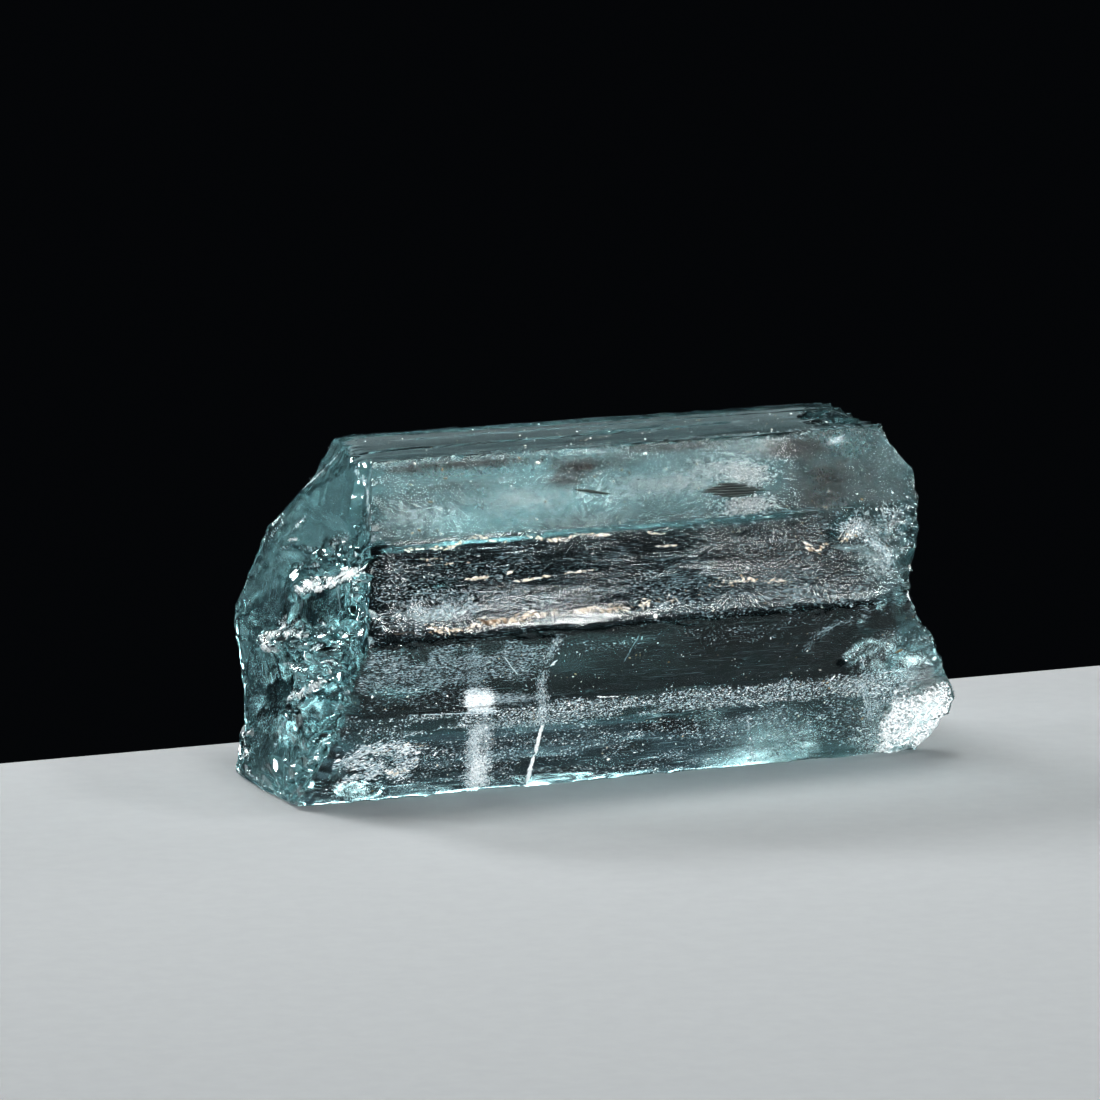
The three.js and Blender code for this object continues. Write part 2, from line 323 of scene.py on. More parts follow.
# splinters: each point takes the flat tilted facet of the nearest cell centre, so
# neighbours meet in small cliffs
def splinters(a, b, tilt, seed):
    nearest, height = 9.0, 0.0
    for pa, pb, own in cellsRound(a, b, seed):
        away = pa ** 2 + pb ** 2
        facet = 2 * tilt * ((own[0] - 0.5) * pa + (own[1] - 0.5) * pb) + 0.3 * tilt * (own[2] - 0.5)
        height = np.where(away < nearest, facet, height)
        nearest = np.minimum(nearest, away)
    return height


# y and height turned by an angle in degrees
def leaning(y, h, lean):
    turn = math.radians(lean)
    return y * math.cos(turn) + h * math.sin(turn), h * math.cos(turn) - y * math.sin(turn)


# how much a point is inside a leaning oval patch, 1 in its middle and 0 outside
def ovalPatch(y, h, middleY, middleH, halfLength, halfHeight, lean):
    along, across = leaning(y - middleY, h - middleH, lean)
    ragged = 0.5 * roughNoise(y * 2.2, h * 2.2, 0.7, 3, 15)
    return 1 - stepAt((along / halfLength) ** 2 + (across / halfHeight) ** 2 + ragged, 0.9, 0.5)


# left break: the further in of two planes, with shell steps, hollows, ribs that fan out
# from the foot, and chips of three sizes where it broke less cleanly
def leftEnd(y, h):
    x = np.maximum(planeOf(crystal["leftBreak"], y, h), planeOf(crystal["leftCornerBreak"], y, h))
    lip = crystal["leftLip"]
    x = x - lip["out"] * stretchOf(y, lip["front"], lip["back"], 0.9) * stepAt(h, lip["height"], 0.7)
    for height, lean, bow, front, back, out, soft, tail in crystal["leftSteps"]:
        wander = 0.30 * out * roughNoise(y * 1.6, height, 3.3, 4, 11)
        edge = height + lean * y + bow * y ** 2 + wander
        below = (1 - stepAt(h, edge, soft)) * stepAt(h, edge - 0.5 * tail - soft, tail)
        x = x - out * below * stretchOf(y, front, back, 0.9)
    for hollow in crystal["leftHollows"]:
        x = x - bumpOf(hollow, y, h)
    fan = crystal["leftFan"]
    py, ph = y - fan["y"], h - fan["height"]
    ribs = np.sin(fan["ribs"] * np.arctan2(ph, py) + 3 * roughNoise(y, h, 0.2, 2, 8))
    x = x - fan["out"] * ribs * stretchOf(np.hypot(py, ph), 0.4, fan["reach"], 1.0)
    for k, (py, ph, length, height, lean, size, tilt) in enumerate(crystal["leftHackle"]):
        patch = ovalPatch(y, h, py, ph, length, height, lean)
        here = patch > 0
        along, across = leaning(y[here], h[here], lean)
        x[here] -= patch[here] * size * splinters(0.6 * along / size, across / size, tilt, 200 + 6 * k)
    lower = stretchOf(h, -6.5, 0.2, 1.0) * (1 - 0.7 * stepAt(y, 1.0, 1.4))
    broad, fine = crystal["leftShells"]
    x = x - lower * (broad * shellNoise(y * 0.8, h * 0.8, 21) + fine * shellNoise(y * 2.4, h * 2.4 + 1, 33))
    return x + 0.03 * roughNoise(y * 0.7, h * 0.7, 7.7, 3, 21)


# right break: a leaning plane with knobs, hollows and broad chips
def rightEnd(y, h):
    x = planeOf(crystal["rightBreak"], y, h)
    for knob in crystal["rightKnobs"]:
        x = x + bumpOf(knob, y, h)
    broad, fine = crystal["rightShells"]
    x = x + broad * shellNoise(y * 0.55, h * 0.55, 41) + fine * shellNoise(y * 1.3, h * 1.3 + 2, 47) - 0.2
    return x + 0.06 * roughNoise(y * 0.8, h * 0.8, 2.2, 4, 31)


# height of the surface over one ideal face: ledges, hollows, the two chipped ridges, the
# chipped rims of the breaks, and growth terraces drawn out along the crystal
def faceRelief(number, line, x, toEnd, y, h):
    name, width = faceNames[number], crystal["faceWidth"]
    out = np.zeros(x.shape)
    soft = crystal["ledgeSoft"][number > 2]
    for faceName, at, drift, drop, start, end in rowsOf(crystal["ledges"]):
        if faceName == name:
            edge = at + drift * x + 0.022 * roughNoise(x * 0.8, at * 50, 0.5, 5, 41)
            out -= drop * stepAt(line, edge, soft) * (1 - stepAt(line, *crystal["ledgeReturn"])) \
                * stretchOf(x, start, end, crystal["ledgeFade"])
    if name == "lowerBack":
        out += crystal["backBow"] * stepAt(line, 0.12, 0.24) * (1 - line)
    for faceName, px, pl, hx, hl, depth in rowsOf(crystal["hollows"]):
        if faceName == name:
            ragged = 0.5 * roughNoise(x * 1.3, y * 2, h * 2, 3, 45)
            away = ((x - px) / hx) ** 2 + ((line - pl) / hl) ** 2 + ragged
            chips = 0.7 + 0.4 * shellNoise(x * 1.5, line * width * 1.8, 57)
            out -= depth * np.clip(1 - away, 0, 0.8) * chips
    for ridge, away in ((number, line * width), ((number + 1) % 6, (1 - line) * width)):
        depth, reach, size = crystal["wear"][faceNames[ridge]]
        beside = np.where(ridge == number, away, -away)
        chips = 1.15 - shellNoise(x / size * 0.7, beside / size + 0.5, 61 + 7 * ridge)
        worn = 0.35 + 0.65 * stepAt(noise(x * 0.55, ridge * 3.0, 0.5, 66), 0.45, 0.5)
        out -= depth * worn * np.exp(-(away / reach) ** 2) * np.clip(chips, 0, 1.2)
        out -= 0.35 * depth * np.exp(-(away / (0.35 * reach)) ** 2)
    depth, reach = crystal["endWear"]
    rim = np.clip(1.2 - shellNoise(x * 1.5, (number + line) * width * 1.8, 91), 0, 1.2)
    levels = 5 * noise(x * 0.22, y * 1.5, h * 1.5, 71) + 0.8 * roughNoise(x * 0.8, y * 2, h * 2, 3, 73)
    terrace = (np.floor(levels) + stepAt(levels - np.floor(levels), 0.5, 0.35)) / 5
    height = crystal["terraces"][name]
    if name == "bottom":
        return np.minimum(out - 0.2 * depth * rim * np.exp(-toEnd / reach) - height * terrace, 0)
    front = {"upperFront": 0.45, "lowerFront": 0.43}.get(name, 1.0)
    out += height * (1 + 1.2 * (line > front)) * (terrace - 0.5)
    return out - depth * rim * np.exp(-toEnd / reach) + 0.010 * roughNoise(x * 0.3, y * 0.7, h * 0.7, 2, 81)


# the relief of any set of points, one face after another
def reliefOf(face, line, x, toEnd, y, h):
    face, line, x, toEnd, y, h = np.broadcast_arrays(face, line, x, toEnd, y, h)
    out = np.zeros(x.shape)
    for number in range(6):
        here = face == number
        if here.any():
            out[here] = faceRelief(number, line[here], x[here], toEnd[here], y[here], h[here])
    return out


# four sides of a ring filled in: a Coons patch, the two ruled surfaces between
# opposite sides added and the corner surface taken away
def fillRing(values):
    n = crystal["linesPerFace"]
    total = len(values)
    s = np.arange(n + 1)[None, :] / n
    r = np.arange(2 * n + 1)[:, None] / (2 * n)
    top = values[:n + 1][None, :]
    front = values[n:3 * n + 1][:, None]
    bottom = values[3 * n:4 * n + 1][::-1][None, :]
    back = values[(total - np.arange(2 * n + 1)) % total][:, None]
    corners = (1 - s) * (1 - r) * values[0] + s * (1 - r) * values[n] \
        + s * r * values[3 * n] + (1 - s) * r * values[4 * n]
    return (1 - r) * top + r * bottom + (1 - s) * back + s * front - corners


def gridQuads(index):
    a, b = index[:-1, :-1], index[:-1, 1:]
    c, d = index[1:, 1:], index[1:, :-1]
    return np.stack([a, b, c, d], axis=-1).reshape(-1, 4)


# frosting from the etched zones, in streaks along the crystal
def etchOf(face, line, x, y, h):
    frost = np.zeros(np.broadcast_shapes(face.shape, x.shape))
    wander = 0.03 * roughNoise(x * 0.8, y * 0.5, h * 0.5, 3, 101)
    for faceName, low, high, start, end, amount in rowsOf(crystal["etched"]):
        here = face == faceNames.index(faceName)
        zone = stretchOf(line + wander, low - 0.1 * (low == 0), high + 0.1 * (high == 1), 0.05) \
            * stretchOf(x + 30 * wander, start, end, 2.6)
        frost = np.maximum(frost, here * amount * zone)
    drawn = noise(x * 0.45, y * 0.9, h * 0.9, 111) + 0.4 * roughNoise(x, y * 3, h * 3, 3, 113)
    return np.clip(frost * (0.78 + 0.32 * stepAt(drawn, 0.5, 0.7)), 0, 1)


# the crystal: a tube of rings from the left break to the right one, each break
# filled by a patch; etch says how frosted each point is
def makeCrystal(material):
    n, m = crystal["linesPerFace"], crystal["stations"]
    line = np.tile(np.arange(n) / n, 6)
    face = np.repeat(np.arange(6), n)
    y, h = idealAt(face, line)
    share = np.arange(m + 1) / m
    share = (share - crystal["crowding"] * np.sin(2 * math.pi * share))[:, None]
    left, right = leftEnd(y, h)[None, :], rightEnd(y, h)[None, :]
    x = left + (right - left) * share
    toEnd = np.minimum(x - left, right - x)
    scale = 1 + reliefOf(face[None, :], line[None, :], x, toEnd, y[None, :], h[None, :]) / axisToFace
    tube = np.stack([x, y * scale, h * scale + axisToFace], axis=-1)
    points = [tube.reshape(-1, 3)]
    frost = [etchOf(face[None, :], line[None, :], x, y[None, :], h[None, :]).ravel()]
    broken = [np.zeros((m + 1) * 6 * n)]
    lined = [np.tile(np.where(np.isin(face, crystal["linedFaces"]), 1.0, 0.2), m + 1)]
    ringIndex = np.arange((m + 1) * 6 * n).reshape(m + 1, 6 * n)
    quads = [gridQuads(np.concatenate([ringIndex, ringIndex[:, :1]], axis=1))]
    used = (m + 1) * 6 * n
    back = (6 * n - np.arange(2 * n + 1)) % (6 * n)
    for k, endSurface, haze in zip((0, m), (leftEnd, rightEnd), crystal["breakHaze"]):
        idealY, idealH = fillRing(y), fillRing(h)
        sides = [endSurface(idealY, idealH), fillRing(tube[k, :, 1]), fillRing(tube[k, :, 2])]
        cap = np.stack(sides, axis=-1)
        index = np.zeros(cap.shape[:2], dtype=np.int64)
        rows, columns = index.shape
        inner = (rows - 2) * (columns - 2)
        index[1:-1, 1:-1] = used + np.arange(inner).reshape(rows - 2, columns - 2)
        index[:, 0], index[:, -1] = ringIndex[k][back], ringIndex[k][n:3 * n + 1]
        index[0, :], index[-1, :] = ringIndex[k][:n + 1], ringIndex[k][3 * n:4 * n + 1][::-1]
        used += inner
        points.append(cap[1:-1, 1:-1].reshape(-1, 3))
        mottle = 0.7 + 0.6 * noise(idealY * 1.6, idealH * 1.6, 0.5 + k, 91)
        frost.append((haze * mottle)[1:-1, 1:-1].ravel())
        broken.append(np.ones(inner))
        lined.append(broken[-1])
        quads.append(gridQuads(index if k == m else index[:, ::-1]))
    piece = meshObject("berylBody", np.concatenate(points), np.concatenate(quads), material)
    piece.data.set_sharp_from_angle(angle=math.radians(crystal["sharpFrom"]))
    for name, values in (("etch", frost), ("broken", broken), ("lined", lined)):
        setPoints(piece, name, np.concatenate(values))
    return piece


# a number for each point of a piece, which its material reads by name
def setPoints(piece, name, values):
    layer = piece.data.attributes.new(name, "FLOAT", "POINT")
    layer.data.foreach_set("value", np.asarray(values, dtype=np.float32))
    return piece


# beryl, grown in hot water and then etched: clear glass inside, fine growth lines along
# the faces, ripples on the breaks and a sugary frosting where it was etched
def berylGlass():
    look = {
        "ior": 1.58, "clear": 0.02, "frosted": 0.42,
        "absorb": "#ace9ed", "density": 50.0,                                   # per metre
        "lineSpacing": 0.10, "rippleSpacing": 0.13, "grainSize": 0.11,          # mm
        "lineDepth": 0.010, "grainDepth": 0.045,                                # mm
        "lineAlong": 0.012, "rippleUp": 0.05,      # how much the pattern is drawn out
        "lineStrength": 0.4,
    }
    material, tree = newMaterial("berylGlass")
    place = addNode(tree, "TexCoord").outputs["Object"]
    etch, broken, lined = [addNode(tree, "Attribute", {"attribute_name": name}).outputs["Fac"]
                           for name in ("etch", "broken", "lined")]
    grain = addNode(tree, "TexNoise", i0=place, Scale=1 / (look["grainSize"] * mm), Detail=4.0,
                    Roughness=0.7)
    speck = addNode(tree, "Math", {"operation": "MULTIPLY_ADD"}, i0=grain, i1=0.8, i2=0.6)
    frost = addNode(tree, "Math", {"operation": "MULTIPLY", "use_clamp": True}, i0=etch, i1=speck)
    rough = addNode(tree, "MapRange", i0=frost, i1=0.0, i2=1.0, i3=look["clear"], i4=look["frosted"])
    per = 1 / (look["lineSpacing"] * mm)
    along = addNode(tree, "Mapping", i0=place, Scale=(per * look["lineAlong"], per, per))
    lines = addNode(tree, "TexNoise", i0=along, Scale=1.0, Detail=3.0, Roughness=0.6)
    cut = addNode(tree, "MapRange", i0=lines, i1=0.62, i2=0.72, i3=0.0, i4=1.0)
    per = 1 / (look["rippleSpacing"] * mm)
    across = addNode(tree, "Mapping", i0=place, Scale=(per, per, per * look["rippleUp"]))
    ripples = addNode(tree, "TexNoise", i0=across, Scale=1.0, Detail=2.0, Roughness=0.5)
    relief = addNode(tree, "Mix", i0=broken, i2=cut, i3=ripples)
    carved = addNode(tree, "Math", {"operation": "MULTIPLY"}, i0=lined, i1=look["lineStrength"])
    lineBump = addNode(tree, "Bump", Strength=carved, Distance=look["lineDepth"] * mm, Height=relief)
    weight = addNode(tree, "MapRange", i0=etch, i1=0.08, i2=0.7, i3=0.0, i4=0.9)
    grainBump = addNode(tree, "Bump", Strength=weight, Distance=look["grainDepth"] * mm, Height=grain,
                        Normal=lineBump)
    shader = addNode(tree, "BsdfPrincipled", Base_Color=(1, 1, 1, 1), Roughness=rough,
                     IOR=look["ior"], Transmission_Weight=1.0, Normal=grainBump)
    volume = addNode(tree, "VolumeAbsorption", Color=hexColour(look["absorb"]), Density=look["density"])
    addNode(tree, "OutputMaterial", Surface=shader, Volume=volume)
    return material


studio = {
    "floor": (-500.0, 500.0, -600.0, 10.0), "floorThick": 12.0, "floorDrop": 0.03,       # mm
    "world": "#15181c", "worldStrength": 0.45, "gamma": 0.78,
    # name, place mm, aims at mm, width mm, height mm, watts, colour
    "panels": [
        ("overhead", (0, 5, 130), (0, 0, 5), 80, 80, 0.2, "#f6f6f4"),
        ("left", (-260, -20, 60), (0, 0, 5), 60, 100, 0.22, "#ffffff"),
        ("rearLeft", (-200, 200, 100), (0, 0, 5), 50, 50, 0.42, "#ffffff"),
        ("rearHigh", (-60, 230, 190), (0, 0, 5), 100, 60, 0.6, "#ffffff"),
        ("right", (260, 40, 60), (0, 0, 5), 60, 100, 0.25, "#ffffff"),
        ("frontRightWide", (160, -180, 225), (0, 0, 6), 170, 170, 0.016, "#e4f0ff"),
        ("front", (-40, -300, 50), (0, 0, 5), 60, 60, 1, "#ffffff"),
        ("frontRight", (121, -102, 198), (3, 0, 6), 56, 26, 0.2, "#f4f5f4"),
    ],
}


def makeStudio():
    left, right, front, rear = studio["floor"]
    top = -studio["floorDrop"]
    base = top - studio["floorThick"]
    corners = [(x, y, z) for z in (base, top) for y in (front, rear) for x in (left, right)]
    sides = [(4, 5, 7, 6), (0, 2, 3, 1), (0, 1, 5, 4), (1, 3, 7, 5), (3, 2, 6, 7), (2, 0, 4, 6)]
    floor = meshObject("floor", corners, sides, studioPaper(), smooth=False)
    world = bpy.data.worlds.new("world")
    world.use_nodes = True
    background = world.node_tree.nodes["Background"]
    background.inputs[0].default_value = hexColour(studio["world"])
    background.inputs[1].default_value = studio["worldStrength"]
    bpy.context.scene.world = world
    look = bpy.context.scene.view_settings
    look.view_transform, look.gamma = "Standard", studio["gamma"]
    for name, place, aim, width, height, watts, colour in studio["panels"]:
        data = bpy.data.lights.new(name, "AREA")
        data.shape, data.size, data.size_y = "RECTANGLE", width * mm, height * mm
        data.energy, data.color = watts, hexColour(colour)[:3]
        lamp = bpy.data.objects.new(name, data)
        toward = np.array(aim, float) - np.array(place, float)
        yaw = math.atan2(toward[0], -toward[1])
        tilt = math.acos(-toward[2] / np.linalg.norm(toward))
        lamp.location = np.array(place) * mm
        lamp.rotation_euler = (tilt, 0, yaw + math.pi)
        bpy.context.scene.collection.objects.link(lamp)


# points on the faces of the finished crystal, in mm, from face number, line and x; inside
# says which lie further than reach from the breaks
def onSurface(face, line, x, reach=0.1):
    y, h = idealAt(face, line)
    left, right = leftEnd(y, h), rightEnd(y, h)
    inside = (x > left + reach + 0.05) & (x < right - reach - 0.05)
    toEnd = np.clip(np.minimum(x - left, right - x), 0, None)
    scale = 1 + reliefOf(face, line, x, toEnd, y, h) / axisToFace
    return np.stack([x, y * scale, h * scale + axisToFace], axis=-1), inside


# unit directions along the face, across it and out of it, for each face number
def faceFrames(face):
    turns = np.radians([crystal["turns"][n] for n in faceNames])[face]
    out = np.stack([0 * turns, np.cos(turns), np.sin(turns)], axis=-1)
    across = np.stack([0 * turns, -np.sin(turns), np.cos(turns)], axis=-1)
    along = np.tile([1.0, 0.0, 0.0], (len(face), 1))
    return along, across, out


eightFaces = [(0, 2, 4), (2, 1, 4), (1, 3, 4), (3, 0, 4), (2, 0, 5), (1, 2, 5), (3, 1, 5), (0, 3, 5)]


# repeats the faces of one small shape for each of its copies
def repeatFaces(faces, copies, corners):
    return ((np.arange(copies) * corners)[:, None, None] + np.array(faces)[None]).reshape(-1, 3)


# small eight-faced grains: each has its middle, three unit directions, three half sizes
# and a tint from 0 to 1 that the material reads
def grainMesh(name, grains, material):
    middles, frames, halves, tints = grains
    corners = []
    for k in range(3):
        reach = frames[k] * halves[:, k:k + 1]
        corners += [middles + reach, middles - reach]
    points = np.stack(corners, axis=1).reshape(-1, 3)
    piece = meshObject(name, points, repeatFaces(eightFaces, len(middles), 6), material, smooth=False)
    return setPoints(piece, "tint", np.repeat(tints, 6))


# rounder lumps of 32 faces: an eight-faced grain with each face parted in four, its
# points pushed out to a ball and then in or out by their own random share
def lumpMesh(name, grains, material, random):
    middles, frames, halves, tints = grains
    base = np.array([(1, 0, 0), (-1, 0, 0), (0, 1, 0), (0, -1, 0), (0, 0, 1), (0, 0, -1)], float)
    edges = sorted({tuple(sorted(pair)) for a, b, c in eightFaces for pair in ((a, b), (b, c), (c, a))})
    middleOf = {edge: 6 + k for k, edge in enumerate(edges)}
    ball = np.concatenate([base, [(base[a] + base[b]) / math.sqrt(2) for a, b in edges]])
    small = []
    for a, b, c in eightFaces:
        ab, bc, ca = [middleOf[tuple(sorted(pair))] for pair in ((a, b), (b, c), (c, a))]
        small += [(a, ab, ca), (ab, b, bc), (ca, bc, c), (ab, bc, ca)]
    push = random.uniform(0.65, 1.2, (len(middles), len(ball), 1))
    local = ball[None] * push * halves[:, None, :]
    points = middles[:, None, :] + sum(local[:, :, k:k + 1] * frames[k][:, None, :] for k in range(3))
    faces = repeatFaces(small, len(middles), len(ball))
    piece = meshObject(name, points.reshape(-1, 3), faces, material, smooth=False)
    return setPoints(piece, "tint", np.repeat(tints, len(ball)))


# turns the first two directions of each grain about the third by its own angle
def turned(frames, angle):
    along, across, out = frames
    c, s = np.cos(angle)[:, None], np.sin(angle)[:, None]
    return along * c + across * s, across * c - along * s, out


def joined(parts):
    middles, frames, halves, tints = zip(*parts)
    return (np.concatenate(middles), [np.concatenate([f[k] for f in frames]) for k in range(3)],
            np.concatenate(halves), np.concatenate(tints))


# places grains: on a face, u runs along the crystal in mm and v is a share across it; on
# a break, u is y and v the height above the axis, both in mm
def placeOn(surface, u, v, reach):
    if surface in faceNames:
        face = np.full(u.shape, faceNames.index(surface))
        points, inside = onSurface(face, np.clip(v, 0.004, 0.996), u, reach)
        return points, faceFrames(face), inside
    side, end = (-1, leftEnd) if surface == "leftBreak" else (1, rightEnd)
    near = ((0.15, 0), (0, 0.15))      # mm to either side, for the slopes
    slopeY, slopeH = [(end(u + dy, v + dh) - end(u - dy, v - dh)) / 0.3 for dy, dh in near]
    out = side * np.stack([np.ones(u.shape), -slopeY, -slopeH], axis=-1)
    along = np.stack([slopeY, np.ones(u.shape), np.zeros(u.shape)], axis=-1)
    out, along = [d / np.linalg.norm(d, axis=1)[:, None] for d in (out, along)]
    inside = np.ones(u.shape, dtype=bool)
    for name, turn in crystal["turns"].items():
        angle = math.radians(turn)
        inside &= u * math.cos(angle) + v * math.sin(angle) < faceReach(name) - reach - 0.12
    points = np.stack([end(u, v), u, v + axisToFace], axis=-1)
    return points, (along, np.cross(out, along), out), inside


# half sizes of grains: the share to a power leans them to the small side, and each is
# longer along its own direction by up to stretch
def grainSizes(random, count, small, large, stretch):
    size = small + (large - small) * random.uniform(0, 1, count) ** 2.7
    longer = size * random.uniform(1, stretch, count)
    return longer, np.stack([longer, size * random.uniform(0.5, 1.0, count), size * 0.6], axis=-1)


def kept(keep, points, frames, halves, tints):
    return points[keep], [f[keep] for f in frames], halves[keep], tints[keep]


# grains spread over a zone: as many as asked are drawn, and a grain stays where the
# clumping noise is high
def spreadGrains(random, zone, seed):
    surface, low, high, start, end, count, clump, small, large, stretch, angle, dark, bright = zone
    v, u = random.uniform(low, high, count), random.uniform(start, end, count)
    longer, halves = grainSizes(random, count, small / 1000, large / 1000, stretch)
    points, frames, inside = placeOn(surface, u, v, longer)
    fine = 4 * crystal["faceWidth"] if surface in faceNames else 4
    clumps = 0.6 * noise(u * 1.1, v * fine, seed * 3.0, seed) \
        + 0.4 * noise(u * 0.35, v * fine / 4, seed * 3.0, seed + 1)
    ragged = 0.25 * roughNoise(u * 0.9, v * fine / 6, seed * 3.0, 3, seed + 60)
    border = stretchOf((v - low) / (high - low) + ragged, 0.1, 0.9, 0.3) \
        * stretchOf((u - start) / (end - start) + 0.4 * ragged, 0.06, 0.94, 0.16)
    keep = inside & (random.uniform(0, 1, count) < stepAt(clumps, clump, 0.25) * border)
    tints = dark + (bright - dark) * random.uniform(0, 1, count) ** 1.5
    return kept(keep, points, turned(frames, random.normal(0, angle, count)), halves, tints)


# grains along a line of (u, v) points: they lie round it with a bell-shaped spread in mm and
# point along it give or take the angle
def strokeGrains(random, stroke):
    surface, points, count, spread, small, large, stretch, angle, dark, bright, *gapEdge = stroke
    share = crystal["faceWidth"] if surface in faceNames else 1.0
    path = np.array(points, float) * [1, share]
    step = np.diff(path, axis=0)
    length = np.concatenate([[0], np.cumsum(np.hypot(*step.T))])
    place = random.uniform(0, length[-1], count)
    leg = np.clip(np.searchsorted(length, place) - 1, 0, len(step) - 1)
    heading = np.arctan2(step[leg, 1], step[leg, 0])
    weave = 1.2 * roughNoise(place * 1.7, count * 1.0, 0.0, 3, 401)
    wander = spread * (random.normal(0, 0.7, count) + weave)
    past = spread * random.normal(0, 0.8, count)      # softens the two ends of the line
    u = np.interp(place, length, path[:, 0]) - wander * np.sin(heading) + past * np.cos(heading)
    v = (np.interp(place, length, path[:, 1]) + wander * np.cos(heading) + past * np.sin(heading)) / share
    longer, halves = grainSizes(random, count, small / 1000, large / 1000, stretch)
    spots, frames, inside = placeOn(surface, u, v, longer)
    gaps = noise(place * 2.3, count * 0.7, 0.0, 402)
    keep = inside & (random.uniform(0, 1, count) < stepAt(gaps, gapEdge[0] if gapEdge else 0.30, 0.35))
    own = turned(frames, heading + random.normal(0, angle, count))
    return kept(keep, spots, own, halves, dark + (bright - dark) * random.uniform(0, 1, count))


def strokeParts(random, table):
    return [strokeGrains(random, stroke) for stroke in rowsOf(table)]


def zoneParts(random, table, seed):
    return [spreadGrains(random, zone, seed + 2 * k) for k, zone in enumerate(rowsOf(table))]


# etched sugar: tiny beryl crumbs on the etched zones, with long thin ones for striations
sugar = {
    # for each surface: v from, to, u from, to, how many, clumping, half size from, to in
    # thousandths of a mm, longest share, turn in radians, darkest and brightest tint
    "etchSugarRidge": [
        "lowerFront",
        (0.42, 0.595, -12.7, 11.4, 16500, 0.31, 8, 36, 2.4, 0.5, 0.45, 1),
        (0.01, 0.3, -12.7, -4.6, 9500, 0.34, 8, 26, 5, 0.08, 0.2, 0.75),
        (0.28, 0.43, -12.7, -4.8, 1500, 0.45, 8, 26, 4, 0.1, 0, 0.7),
        (0.02, 0.16, -5, 10, 1800, 0.5, 8, 30, 3, 0.2, 0, 0.8),
        (0.02, 0.43, -12.5, 9, 700, 0.45, 5, 9, 90, 0.004, 0, 0.2),
        (0.05, 0.6, 7.5, 12, 2200, 0.5, 10, 30, 2, 0.9, 0.2, 1),
    ],
    "etchSugarLower": [
        "lowerFront",
        (0.57, 0.99, -12.5, 11.8, 17000, 0.38, 10, 36, 2.4, 0.4, 0.1, 0.95),
        (0.58, 0.92, -12.2, -8.8, 4800, 0.32, 10, 46, 4, 0.5, 0.45, 1),
        (0.57, 0.99, -10, 11, 900, 0.45, 6, 12, 50, 0.02, 0, 0.6),
        (0.54, 1, 10.1, 13.2, 5200, -0.3, 20, 50, 2.2, 0.8, 0.88, 1),
        (0.4, 0.95, 9, 11.2, 1900, 0.38, 10, 36, 3, 0.9, 0.3, 1),
    ],
    "etchSugarUpper": [
        "upperFront",
        (0.46, 0.99, -11.5, 3, 3000, 0.5, 8, 26, 4, 0.07, 0, 0.8),
        (0.45, 1, -11.8, 10, 9000, 0.36, 7, 18, 9, 0.03, 0, 0.45),
        (0.7, 0.9, -0.8, 7, 3600, 0.3, 8, 24, 4, 0.08, 0, 0.4),
        (0.84, 0.99, -2, 10.5, 2600, 0.4, 10, 34, 3, 0.3, 0.1, 0.7),
        (0.72, 0.96, -11.5, 2, 3200, 0.42, 10, 32, 3.5, 0.14, 0.1, 0.9),
        (0.7, 0.88, -10.2, -7.4, 900, 0.3, 10, 30, 5, 1.2, 0.4, 1),
        (0.48, 0.98, -11.8, -4.5, 3600, 0.42, 8, 26, 5, 0.06, 0.2, 0.9),
        (0.46, 0.99, -13, -9.6, 2600, 0.3, 8, 26, 3, 0.2, 0.35, 1),
        (0.46, 0.98, 3, 11, 1500, 0.5, 10, 35, 3, 0.4, 0, 0.8),
        (0, 0.46, -11.5, 11, 2600, 0.55, 8, 22, 1.6, 0.8, 0.1, 0.9),
        (0.01, 0.4, -11.5, -3, 1800, 0.48, 6, 18, 1.6, 0.8, 0, 1),
        (0, 0.05, -11.5, 11, 900, 0.45, 10, 35, 2.4, 0.5, 0.1, 1),
        (0.46, 0.98, -11.5, 9.5, 1500, 0.45, 5, 9, 70, 0.005, 0, 0.6),
        (0.38, 0.48, -11.5, 9.5, 420, 0.35, 6, 12, 45, 0.01, 0.3, 0.8),
        (0.4, 0.66, 6.2, 11, 1000, 0.46, 10, 36, 2.4, 0.7, 0.3, 1),
        "top",
        (0.02, 0.98, -10, 11, 500, 0.5, 8, 22, 3, 0.3, 0, 0.5),
        (0.02, 0.98, -10, 11, 160, 0.45, 6, 11, 70, 0.005, 0, 0.2),
        (0.9, 0.99, -10, 11, 420, 0.45, 10, 30, 2.4, 0.5, 0.3, 1),
    ],
    "etchSugarRear": [
        # the same two rows on both back faces, then the right break
        *[entry for row in ((0.02, 0.98, -12, 11, 3000, 0.5, 10, 40, 2.4, 0.5, 0, 0.9),
                            (0.02, 0.98, -12, 10.5, 300, 0.45, 6, 12, 60, 0.01, 0, 0.5))
          for entry in ("upperBack", row, "lowerBack", row)],
        "rightBreak", (-6, 6, -7, 7, 3500, 0.48, 10, 45, 2, 0.9, 0.1, 0.9),
    ],
}


def makeSugar(name, material, seed):
    return grainMesh(name, joined(zoneParts(np.random.default_rng(seed), sugar[name], 301)), material)


